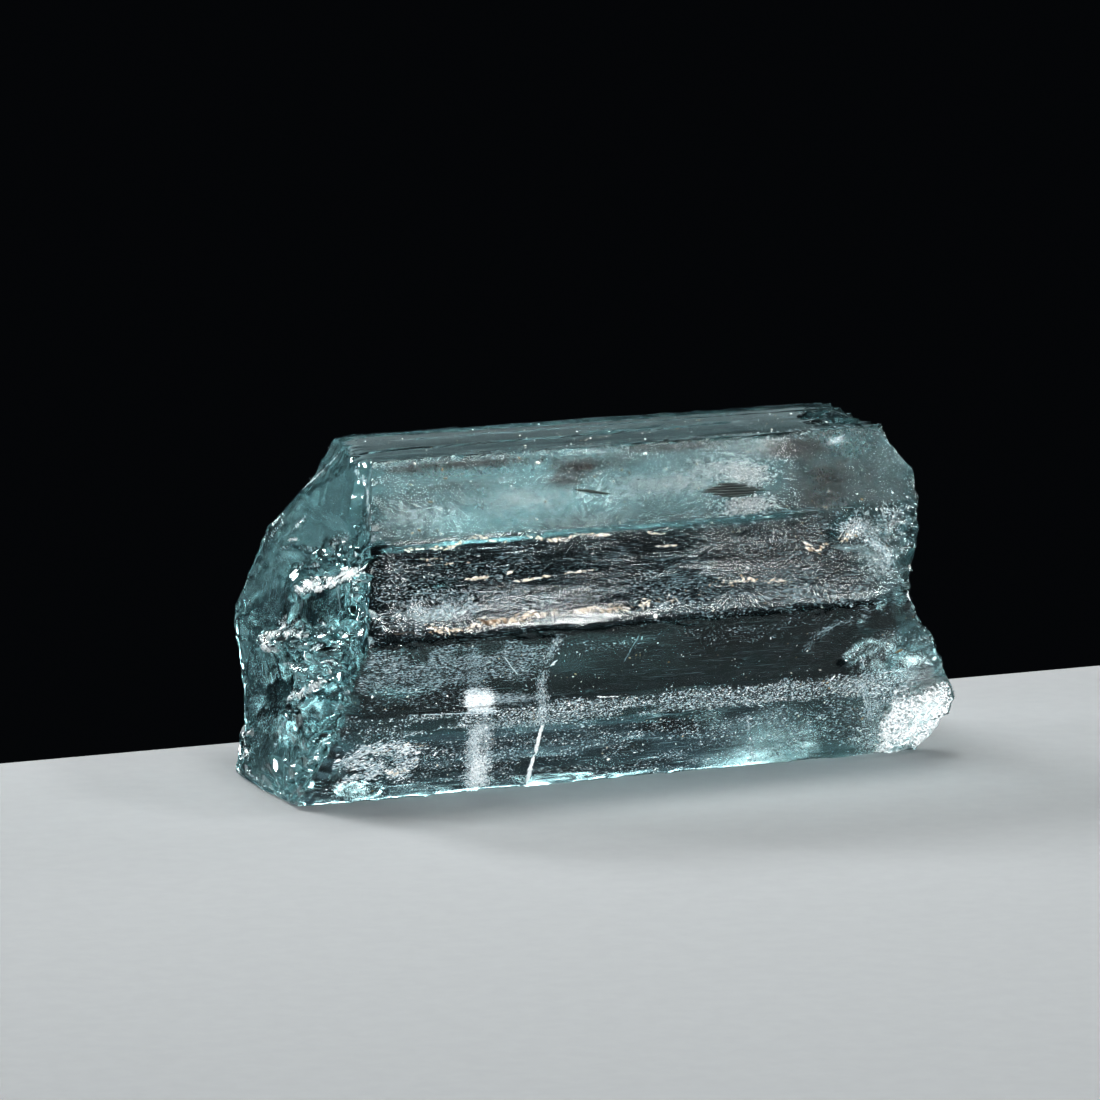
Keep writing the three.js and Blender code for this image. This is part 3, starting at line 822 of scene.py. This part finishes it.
# healed cracks and milky veils where they reach the surface, as chains of fine crumbs, and a painted
# reflection: a column of white crumbs for a streak of light reflected inside the crystal
cracksAndReflection = {
    # for each surface: (u, v) points, how many, spread mm, half size from, to in thousandths
    # of a mm, longest share, turn in radians, darkest and brightest tint, and the gap edge
    # (0.3 if left out, -1 for no gaps)
    "strokes": [
        "lowerFront",
        ([(-4.55, 0.02), (-4.8, 0.175), (-4.62, 0.31)], 900, 0.17, 8, 26, 4, 0.5, 0.1, 0.9),
        ([(-4.62, 0.31), (-4.36, 0.47), (-4.3, 0.62)], 1100, 0.19, 8, 28, 4, 0.5, 0.2, 1),
        ([(-4.16, 0.6), (-4.11, 0.76), (-4.09, 0.95)], 900, 0.045, 12, 40, 6, 0.12, 0.8, 1),
        ([(-4.2, 0.03), (-4.38, 0.168), (-4.58, 0.2)], 200, 0.03, 10, 28, 6, 0.1, 0.4, 1),
        ([(-6.59, 0.113), (-5.31, 0.32)], 170, 0.012, 10, 22, 8, 0.05, 0.4, 1),
        ([(-6.59, 0.113), (-4.97, 0.116)], 150, 0.03, 8, 20, 6, 0.1, 0.3, 0.8),
        ([(-1.31, 0.048), (-1.73, 0.27)], 130, 0.02, 8, 18, 8, 0.05, 0.1, 0.5),
        ([(5.87, 0.23), (6.37, 0.134), (7.24, 0.054), (8.05, 0.01)], 620, 0.17, 8, 24, 5, 0.2, 0.1, 0.6),
        ([(8.37, 0.34), (9, 0.55), (9.59, 0.75)], 420, 0.1, 12, 35, 5, 0.2, 0.3, 0.9),
        ([(3.99, 0.54), (4.58, 0.78), (5.08, 0.95)], 300, 0.05, 10, 30, 5, 0.2, 0.4, 0.9),
        ([(-9.77, 0.44), (-6.34, 0.474), (-6.05, 0.459)], 340, 0.016, 10, 20, 8, 0.03, 0.4, 0.9),
        ([(-2.53, 0.427), (-1.42, 0.438)], 90, 0.015, 12, 35, 3, 0.2, 0.9, 1),
        # painted reflection: a column of white crumbs for a streak of light reflected inside the crystal,
        # as a wisp, a bright core drawn out along the crystal and a soft foot
        ([(-7.75, 0.02), (-7.35, 0.3)], 1100, 0.26, 6, 16, 5, 1.5, 0.1, 0.7, -1),
        ([(-7.66, 0.335), (-6.72, 0.34)], 800, 0.13, 7, 20, 7, 0.04, 0.4, 1, -1),
        ([(-7.56, 0.372), (-6.62, 0.377)], 1500, 0.13, 7, 22, 7, 0.04, 0.7, 1, -1),
        ([(-7.48, 0.408), (-6.54, 0.412)], 1500, 0.13, 7, 22, 7, 0.04, 0.7, 1, -1),
        ([(-7.4, 0.442), (-6.46, 0.446)], 1000, 0.13, 7, 20, 7, 0.04, 0.5, 1, -1),
        ([(-6.6, 0.385), (-4.85, 0.4)], 900, 0.2, 6, 16, 9, 0.04, 0.2, 0.8, -1),
        ([(-6.98, 0.43), (-6.6, 0.6)], 700, 0.24, 7, 20, 3, 1.5, 0.3, 0.9, -1),
        ([(-7.05, 0.56), (-6.45, 0.96)], 1500, 0.17, 8, 22, 4, 1.5, 0.4, 0.9, -1),
        ([(-6.75, 0.56), (-6.15, 0.96)], 1900, 0.17, 8, 22, 4, 1.5, 0.5, 1, -1),
        ([(-6.45, 0.56), (-5.85, 0.96)], 1500, 0.17, 8, 22, 4, 1.5, 0.4, 0.9, -1),
        ([(-6.35, 0.78), (-6.1, 0.94)], 1300, 0.24, 8, 24, 4, 1.5, 0.7, 1, -1),
        # milky patches by the right break
        "upperFront",
        ([(8, 0.565), (9, 0.515), (10, 0.5)], 1500, 0.28, 10, 34, 2.5, 0.5, 0.5, 1),
        ([(8.9, 0.58), (9.4, 0.7), (9.3, 0.78)], 500, 0.2, 10, 34, 3, 0.4, 0.4, 0.9),
        ([(8.2, 0.06), (8.9, 0.07)], 260, 0.11, 8, 26, 2.5, 0.4, 0.5, 0.9, -1),
    ],
}


# healed cracks, and the column of white crumbs that paints reflected light
def makeCracksAndReflection(material):
    return grainMesh("healedCracksAndReflection", joined(strokeParts(np.random.default_rng(12), cracksAndReflection["strokes"])),
                     material)


# splintered glass of the left break: bright chips that paint its glints as painted highlights, dots and
# hair-fine ribs
chips = {
    # columns as in the crack strokes and in sugar
    "strokes": [
        "leftBreak",
        # painted highlights: bright chips in the shapes of the break's glints, with a few thin scratch
        # lines among them
        ([(2.55, 1.43), (1.44, 1.66), (0.11, 1.91),
         (-1.71, 2.15)], 300, 0.1, 8, 40, 3, 0.3, 0.2, 0.9, 0.45),
        ([(0.3, 1.12), (-0.3, 1.14), (-1.6, 1.33), (-2.6, 1.66), (-4, 2.08), (-5.2, 2.4)],
         1500, 0.09, 10, 50, 3, 0.4, 0.7, 1, 0.2),
        ([(-0.3, 1.36), (-1.6, 1.56), (-2.9, 1.95), (-4.6, 2.4)], 1400, 0.12, 10, 50, 3, 0.4, 0.7, 1, 0.2),
        ([(3.91, -1.18), (2.62, -1.2), (1.16, -1.11)], 420, 0.12, 12, 70, 2.5, 0.5, 0.7, 1),
        ([(2.69, -1.08), (1.7, -0.66), (1, -0.19)], 500, 0.16, 12, 70, 2.5, 0.5, 0.7, 1),
        ([(0.07, -0.47), (-1.02, -0.24), (-1.97, -0.18)], 420, 0.1, 12, 60, 3, 0.4, 0.7, 1),
        ([(2.59, -0.46), (-0.43, -0.08), (-3.36, 0.33)], 420, 0.2, 10, 45, 2.5, 0.6, 0.4, 1),
        ([(-2, -0.98), (-2.71, -0.56), (-3.33, -0.39)], 200, 0.08, 10, 50, 3, 0.3, 0.6, 1),
        ([(0.59, -1.6), (-1.26, -1.37)], 130, 0.06, 10, 45, 3, 0.3, 0.5, 1),
        ([(-1.51, -1.38), (-2.62, -0.81)], 200, 0.08, 10, 50, 3, 0.3, 0.6, 1),
        ([(-3.62, -1.23), (-3.09, -1.55)], 70, 0.05, 10, 50, 3, 0.3, 0.6, 1),
        ([(-0.26, -2.53), (-1.42, -2.4), (-2.21, -2.08), (-3.5, -1.61)],
         650, 0.11, 12, 60, 3, 0.4, 0.6, 1),
        ([(-4.31, -1.93), (-5.56, -1.62)], 90, 0.06, 10, 40, 3, 0.3, 0.4, 0.9),
        ([(1.95, 3.42), (3.21, 2.65)], 110, 0.015, 10, 24, 8, 0.05, 0.5, 1),
        ([(1.78, 3.36), (2.54, 2.98)], 80, 0.02, 10, 24, 8, 0.05, 0.4, 1),
        ([(3.3, 2.39), (2.04, 2.6)], 130, 0.04, 10, 40, 4, 0.1, 0.6, 1),
        ([(3.73, 2.09), (2.36, 2.31), (0.2, 2.5)], 170, 0.05, 10, 30, 4, 0.1, 0.2, 0.9),
        ([(5, 2.3), (4.1, 2.9), (3.4, 3.2)], 140, 0.12, 10, 40, 2, 0.5, 0.4, 1),
        ([(-1.35, 2.71), (-2.02, 3.2), (-2.6, 3.44)], 420, 0.22, 8, 30, 2, 0.8, 0.4, 1),
        ([(-2.74, 3.21), (-3.8, 2.87)], 200, 0.07, 12, 50, 2.5, 0.4, 0.8, 1),
        # the ridge beside the front face, with its dotted edge: a sparkle painted as bright chips (painted
        # highlights)
        ([(-2.6, 5.7), (-3.5, 5.1), (-3.73, 4.7), (-4.2, 4.2), (-4.78, 3.79)],
         260, 0.09, 10, 50, 2, 0.5, 0.3, 1),
        # outline of the narrow grey facet
        ([(-3.65, 1.97), (-4.11, 1.24), (-4.39, 0.04)], 170, 0.015, 8, 20, 7, 0.05, 0.3, 0.9),
        ([(-4.31, 2.06), (-5.42, 1.26), (-6.6, 0.55)], 170, 0.015, 8, 20, 7, 0.05, 0.3, 0.9),
        ([(-6.6, 0.5), (-4.39, 0.04)], 150, 0.02, 8, 22, 5, 0.1, 0.3, 0.9),
        # painted highlight: bright chips for the rim light of the far edge
        ([(0.79, 5.85), (1.88, 4.9), (3.5, 3.9), (5.3, 2.5), (6.3, 1.3), (6.6, 0.23)],
         520, 0.05, 12, 40, 3, 0.2, 0.5, 1),
        # painted highlights: bright chips for the glints near the foot
        ([(-1.18, -2.8), (0.47, -4.5)], 160, 0.08, 8, 30, 4, 0.3, 0.2, 0.8),
        ([(-3.26, -4.49), (-5.29, -3.85)], 140, 0.08, 10, 40, 3, 0.3, 0.4, 1),
        ([(-4.81, -4.24), (-4.2, -4.6)], 60, 0.05, 10, 40, 3, 0.3, 0.4, 1),
        ([(3, -5.7), (1.16, -5.95), (-2.5, -5.85)], 260, 0.06, 10, 40, 2, 0.4, 0.3, 1),
    ],
    "zones": [
        "leftBreak",
        (-5.9, 0.2, -6.8, 5.5, 3600, 0.46, 6, 22, 3, 1.6, 0, 0.7),
        (0.2, 5.9, -6.8, 6.5, 1500, 0.5, 6, 18, 3, 1.6, 0, 0.7),
        (0.1, 1.4, -3, 5, 260, 0.4, 5, 9, 60, 0.03, 0, 0.35),
        (-5.5, -2.6, -6.5, 4.5, 420, 0.45, 5, 10, 30, 0.25, 0, 0.7),
    ],
    "ribStretch": 20,      # grains longer than this are ribs, which stand upright
}


# the left break's chips, dots and ribs, with bright chips as painted highlights for its glints and rim
# light
def makeChipsAndGlints(material):
    random = np.random.default_rng(18)
    parts = strokeParts(random, chips["strokes"])
    spread = zoneParts(random, chips["zones"], 351)
    for zone, (points, frames, halves, tints) in zip(rowsOf(chips["zones"]), spread):
        upright = math.pi / 2 if zone[9] > chips["ribStretch"] else 0.0
        parts.append((points, turned(frames, np.full(len(points), upright)), halves, tints))
    return grainMesh("breakChipsAndGlints", joined(parts), material)


# iron-stained crust: chalky lumps caught in the etched ledges
crust = {
    # columns as in the crack strokes
    "strokes": [
        "upperFront",
        ([(-9.72, 0.49), (-7.95, 0.486), (-6.98, 0.452), (-6.23, 0.471), (-4.99, 0.462), (-3.43, 0.499),
         (-2.9, 0.472), (-2.03, 0.48), (-1.13, 0.49)], 420, 0.05, 10, 50, 2.5, 0.3, 0, 0.45),
        ([(-0.1, 0.5), (0.65, 0.507)], 40, 0.04, 12, 50, 2.5, 0.3, 0, 0.5),
        ([(0.09, 0.568), (0.93, 0.576)], 36, 0.04, 12, 50, 2.5, 0.3, 0, 0.5),
        ([(-9.29, 0.538), (-8.37, 0.547)], 36, 0.03, 10, 40, 2.5, 0.3, 0.1, 0.6),
        ([(-9.05, 0.578), (-7.05, 0.577)], 70, 0.03, 10, 40, 2.5, 0.3, 0.1, 0.8),
        ([(-7.84, 0.667), (-6.8, 0.658), (-5.8, 0.644)], 170, 0.05, 12, 55, 2.5, 0.2, 0, 0.5),
        ([(-5.89, 0.698), (-4.3, 0.683), (-2.62, 0.667)], 190, 0.03, 10, 45, 3, 0.2, 0, 0.4),
        ([(-9.5, 0.914), (-8.84, 0.937), (-7.98, 0.919), (-7.55, 0.897), (-6.91, 0.888), (-6.45, 0.909),
         (-5.6, 0.886), (-4.47, 0.882), (-3.35, 0.888), (-1.86, 0.882),
         (-0.8, 0.872)], 900, 0.1, 12, 65, 2.2, 0.5, 0, 0.75),
        ([(-7.7, 0.9), (-6.3, 0.895)], 90, 0.07, 20, 90, 2.2, 0.4, 0.5, 1),
        ([(2.6, 0.803), (3.31, 0.794), (5.09, 0.824)], 130, 0.09, 12, 60, 2.2, 0.5, 0.1, 0.8),
        ([(5.94, 0.6), (6.46, 0.649), (8.48, 0.569)], 170, 0.11, 12, 60, 2.2, 0.5, 0, 0.8),
        ([(-0.8, 0.86), (1.2, 0.83), (2.5, 0.8)], 90, 0.12, 10, 40, 2.2, 0.5, 0, 0.7),
        "lowerFront",
        ([(-10.6, 0.68), (-9.6, 0.64), (-8.6, 0.66)], 50, 0.05, 12, 40, 2.2, 0.5, 0.2, 1),
        ([(-9.9, 0.83), (-9.2, 0.81)], 40, 0.06, 15, 60, 2.2, 0.5, 0, 0.4),
        ([(-5.5, 0.49), (-2, 0.47), (3, 0.46)], 90, 0.16, 10, 35, 2, 0.8, 0.1, 0.9),
        "top",
        ([(-0.8, 0.72), (0.8, 0.6)], 24, 0.1, 12, 40, 2, 0.5, 0.3, 0.9),
        "upperFront",
        ([(-3, 0.12), (0, 0.16)], 26, 0.25, 10, 35, 2, 0.5, 0.5, 1),
    ],
    # single bits on each face: x, line, half length, half width mm, tint
    "bits": [
        "upperFront", (-3.72, 0.073, 0.12, 0.07, 0), (-8.54, 0.028, 0.06, 0.05, 0),
        (0.64, 0.064, 0.06, 0.06, 0.05), (-0.64, 0.945, 0.11, 0.09, 0),
        "lowerFront", (9.87, 0.303, 0.14, 0.07, 0.85),
        "upperFront", (-8.3, 0.24, 0.09, 0.03, 0.9), (-7.5, 0.12, 0.1, 0.04, 0.7),
        "lowerFront", (-1, 0.86, 0.07, 0.06, 0),
    ],
}


def makeCrust(material):
    random = np.random.default_rng(14)
    parts = strokeParts(random, crust["strokes"])
    names, x, line, long, wide, tint = [np.array(v) for v in zip(*rowsOf(crust["bits"]))]
    face = np.array([faceNames.index(n) for n in names])
    spots, _ = onSurface(face, line, x)
    halves = np.stack([long, wide, wide * 0.7], axis=-1)
    parts.append((spots, turned(faceFrames(face), random.normal(0, 0.3, len(x))), halves, tint))
    return lumpMesh("ironStainCrust", joined(parts), material, random)


# settled dust: a few hundred specks over every face but the one it rests on
dust = {
    # face, x from, to, how many, largest half size in thousandths of a mm; the rest of each
    # row is added below, in the columns of sugar
    "faces": [
        ("upperFront", -11.5, 11, 420, 45), ("lowerFront", -12.5, 11, 420, 45),
        ("top", -10, 11, 180, 40), ("upperBack", -12, 11, 160, 40), ("lowerBack", -12, 11, 100, 40),
    ],
    "fibre": [(-11.0, 0.922), (-10.9, 0.932), (-10.65, 0.928), (-10.33, 0.921), (-10.15, 0.935),
              (-10.05, 0.955)],        # x and line on the upper front face
    "fibreRadius": 0.022,      # mm
    "fibrePoints": 40, "fibreSides": 6, "fibreRounds": 6,
}


def makeDust(material):
    random = np.random.default_rng(16)
    table = []
    for name, start, end, count, large in dust["faces"]:
        table += [name, (0, 1, start, end, count, 0.2, 12, large, 2, 3, 0, 1)]
    return lumpMesh("dustSpecks", joined(zoneParts(random, table, 331)), material, random)


# a tube round a smooth path: ring after ring, each end drawn to a point by its radii
def tubeMesh(path, radii, sides):
    along = np.gradient(path, axis=0)
    along /= np.linalg.norm(along, axis=1)[:, None]
    across = np.cross(along, [0.0, 0.0, 1.0])
    across /= np.linalg.norm(across, axis=1)[:, None]
    up = np.cross(across, along)
    angle = 2 * math.pi * np.arange(sides) / sides
    ring = across[:, None] * np.cos(angle)[None, :, None] + up[:, None] * np.sin(angle)[None, :, None]
    points = (path[:, None] + radii[:, None, None] * ring).reshape(-1, 3)
    index = np.arange(len(path) * sides).reshape(len(path), sides)
    return points, gridQuads(np.concatenate([index, index[:, :1]], axis=1))


# dark needles just under the surface of the upper front face, six of them a lens of rods
needles = {
    "rings": 12, "sides": 6,
    # x, line, length, thickness mm, turn, depth under the face mm
    "rods": [
        (-1.86, 0.25, 1.45, 0.13, 0.2, 0.02), (-1.95, 0.246, 1.05, 0.11, 0.22, 0.02),
        (3.82, 0.302, 2.75, 0.13, 0.03, 0.02), (3.7, 0.288, 2.2, 0.14, 0.03, 0.02),
        (3.66, 0.274, 1.55, 0.13, 0.02, 0.02), (3.62, 0.262, 0.95, 0.09, 0.01, 0.02),
        (3.8, 0.316, 1.95, 0.13, 0.03, 0.02), (3.76, 0.329, 1.15, 0.1, 0.04, 0.02),
        (0.95, 0.405, 0.9, 0.035, 0.02, 0.04), (0.1, 0.2, 0.12, 0.05, 0, 0.02),
    ],
}


def makeNeedles(material):
    allPoints, allQuads, start = [], [], 0
    face = np.array([faceNames.index("upperFront")])
    share = np.linspace(-1, 1, needles["rings"])
    for k, (x, line, length, thick, turn, depth) in enumerate(needles["rods"]):
        spot = onSurface(face, np.array([line]), np.array([x]))[0][0]
        along, across, out = [f[0] for f in turned(faceFrames(face), np.array([turn]))]
        bend = 0.03 * roughNoise(share * 2.0, k * 5.0, 0.5, 2, 421)
        path = spot - out * depth + along * (share * length / 2)[:, None] + across * bend[:, None]
        uneven = 0.8 + 0.4 * noise(share * 3, k * 3.0, 0.5, 422)
        radii = thick / 2 * np.sqrt(np.clip(1 - share ** 2, 0.0004, 1)) * uneven
        points, quads = tubeMesh(path, radii, needles["sides"])
        allPoints.append(points)
        allQuads.append(quads + start)
        start += len(points)
    return meshObject("darkNeedles", np.concatenate(allPoints), np.concatenate(allQuads), material)


# veils: clouds of crumbs inside the glass under the upper front face, thickest in the
# middle, which the frosted face blurs
veils = {
    # x, line, half length mm, half share, depth mm, how many, largest half size in
    # thousandths of a mm
    "milky": [
        (4.54, 0.205, 0.75, 0.055, 0.4, 1000, 36), (4.3, 0.375, 0.85, 0.04, 0.35, 950, 36),
        (3.6, 0.15, 1.1, 0.035, 0.9, 500, 30), (2.3, 0.22, 1.3, 0.05, 1, 420, 30),
        (-4.27, 0.235, 1.9, 0.06, 1, 800, 30), (0.69, 0.21, 1.4, 0.05, 1, 600, 30),
        (-8.45, 0.286, 1.6, 0.06, 1.2, 300, 26), (-2.3, 0.36, 2.2, 0.04, 1.1, 260, 24),
        (9.3, 0.53, 0.9, 0.07, 0.5, 420, 30), (9.1, 0.74, 0.5, 0.06, 0.5, 260, 28),
    ],
    "dark": [
        (-1.9, 0.085, 0.9, 0.04, 0.8, 900, 40), (-2.5, 0.15, 0.7, 0.03, 0.8, 420, 36),
        (-5.6, 0.035, 2, 0.026, 0.5, 900, 34), (-8.3, 0.035, 1.4, 0.026, 0.5, 600, 34),
        (6.9, 0.07, 1.2, 0.05, 0.7, 1200, 42), (8, 0.22, 1.5, 0.1, 0.9, 1500, 42),
        (2, 0.025, 2.6, 0.022, 0.5, 800, 34), (-0.2, 0.07, 1.2, 0.03, 0.8, 300, 34),
        (7.4, 0.36, 1, 0.05, 0.9, 500, 40), (-6.9, 0.13, 1.6, 0.03, 0.9, 360, 32),
    ],
}


def makeVeils(name, clouds, material, seed):
    random = np.random.default_rng(seed)
    parts = []
    for x, line, halfLength, halfShare, depth, count, large in clouds:
        u = x + halfLength * 0.6 * random.normal(0, 1, count)
        v = line + halfShare * 0.6 * random.normal(0, 1, count)
        longer, halves = grainSizes(random, count, 0.5 * large / 1000, large / 1000, 4.0)
        points, frames, inside = placeOn("upperFront", u, v, longer + 0.4)
        inward = depth * random.uniform(0.6, 1.4, count)
        points = points - frames[2] * inward[:, None]
        own = turned(frames, random.normal(0, 0.3, count))
        parts.append(kept(inside & (v > 0.004), points, own, halves, random.uniform(0.7, 1.0, count)))
    return grainMesh(name, joined(parts), material)


# one curled fibre of lint, lifted clear of the face by its own radius
def makeFibre(material):
    x, line = np.array(dust["fibre"]).T
    face = np.full(len(x), faceNames.index("upperFront"))
    knots = onSurface(face, line, x)[0] + faceFrames(face)[2] * 2 * dust["fibreRadius"]
    share = np.linspace(0, len(knots) - 1, dust["fibrePoints"])
    path = np.stack([np.interp(share, np.arange(len(knots)), knots[:, k]) for k in range(3)], axis=-1)
    for _ in range(dust["fibreRounds"]):      # each point moves to the mean of its neighbours
        path[1:-1] = (path[:-2] + path[2:]) / 2
    radii = dust["fibreRadius"] * np.sqrt(np.clip(1 - np.linspace(-1, 1, len(path)) ** 6, 0.0004, 1))
    points, quads = tubeMesh(path, radii, dust["fibreSides"])
    return meshObject("lintFibre", points, quads, material)


# a matt mineral: its colour runs along a list of (tint, hex) stops
def mattMineral(name, stops, roughness, ior):
    material, tree = newMaterial(name)
    tint = addNode(tree, "Attribute", {"attribute_name": "tint"}).outputs["Fac"]
    ramp = addNode(tree, "ValToRGB", i0=tint)
    for k, (place, code) in enumerate(stops):
        spot = ramp.color_ramp.elements[k] if k < 2 else ramp.color_ramp.elements.new(place)
        spot.position, spot.color = place, hexColour(code)
    shader = addNode(tree, "BsdfPrincipled", Base_Color=ramp, Roughness=roughness, IOR=ior)
    addNode(tree, "OutputMaterial", Surface=shader)
    return material


# etched beryl crumbs: full of tiny breaks, so they scatter light from grey to white; its near-white crumbs
# also paint glints, rim light and a streak of reflected light as painted highlights
def etchedBerylAndHighlights():
    stops = [(0.0, "#3b5258"), (1.0, "#ffffff"), (0.5, "#8da5ad")]
    return mattMineral("etchedBerylAndHighlights", stops, roughness=0.30, ior=1.58)


# limonite and clay: earthy and matt, cream to tan to rust, with a few near-black bits
def limoniteClay():
    stops = [(0.0, "#f3f0ea"), (1.0, "#40352a"), (0.3, "#cfc5b6"), (0.6, "#9d8f7d"), (0.85, "#7d664d")]
    return mattMineral("limoniteClay", stops, roughness=0.85, ior=1.5)


# mixed room and mine dust: mostly pale, some brown and black
def mineDust():
    stops = [(0.0, "#ffffff"), (1.0, "#2b2a22"), (0.55, "#d9d2c4"), (0.75, "#a98a62")]
    return mattMineral("mineDust", stops, roughness=0.7, ior=1.5)


# a colour that wanders between two hex values in blotches of a real size in mm, with a bump
# of the same blotches
def blotchyMineral(name, first, second, size, stretch, roughness, ior, bump):
    material, tree = newMaterial(name)
    place = addNode(tree, "TexCoord").outputs["Object"]
    per = 1 / (size * mm)
    drawn = addNode(tree, "Mapping", i0=place, Scale=(per / stretch, per, per))
    blotch = addNode(tree, "TexNoise", i0=drawn, Scale=1.0, Detail=3.0, Roughness=0.6)
    ramp = addNode(tree, "ValToRGB", i0=blotch)
    for spot, place, code in zip(ramp.color_ramp.elements, (0.35, 0.65), (first, second)):
        spot.position, spot.color = place, hexColour(code)
    relief = addNode(tree, "Bump", Strength=0.6, Distance=bump * mm, Height=blotch)
    shader = addNode(tree, "BsdfPrincipled", Base_Color=ramp, Roughness=roughness, IOR=ior, Normal=relief)
    addNode(tree, "OutputMaterial", Surface=shader)
    return material


# tourmaline or hornblende needles: black to grey-green along their length, glossy
def darkMineral():
    return blotchyMineral("darkMineral", "#0d1515", "#2c3a38", size=0.08, stretch=6.0, roughness=0.35,
                          ior=1.62, bump=0.01)


# matt seamless paper, pale grey, with a faint felt-like mottle
def studioPaper():
    return blotchyMineral("studioPaper", "#919496", "#939698", size=0.9, stretch=1.0, roughness=0.9,
                          ior=1.5, bump=0.002)


# cotton lint: dark brown, matt, in uneven twists
def lint():
    return blotchyMineral("cottonLint", "#1a1410", "#4a3d31", size=0.05, stretch=1.0, roughness=0.8,
                          ior=1.5, bump=0.008)


makeCamera()
makeStudio()
print("studio ready")

body = makeCrystal(berylGlass())
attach(body, "root")
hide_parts("beryl_crystal")
print("crystal made:", len(body.data.polygons), "faces")

# crumb material, also used for painted highlights and a painted reflection
crumbsAndHighlights = etchedBerylAndHighlights()
black = darkMineral()
pieces = [
    (makeSugar("etchSugarRidge", crumbsAndHighlights, 5), "beryl"),
    (makeSugar("etchSugarLower", crumbsAndHighlights, 8), "beryl"),
    (makeSugar("etchSugarUpper", crumbsAndHighlights, 6), "beryl"),
    (makeSugar("etchSugarRear", crumbsAndHighlights, 7), "beryl"),
    # healed cracks and a painted reflection
    (makeCracksAndReflection(crumbsAndHighlights), "beryl"),
    # chips of the left break, partly painted highlights
    (makeChipsAndGlints(crumbsAndHighlights), "beryl"),
    (makeCrust(limoniteClay()), "iron_stain"),
    (makeDust(mineDust()), "dust"),
    (makeFibre(lint()), "dust"),
    (makeNeedles(black), "inclusion"),
    (makeVeils("milkyVeils", veils["milky"], crumbsAndHighlights, 9), "beryl"),
    (makeVeils("darkVeils", veils["dark"], black, 10), "inclusion"),
]
for piece, slot in pieces:
    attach(piece, "root")
    print(piece.name, "made:", len(piece.data.polygons), "faces")
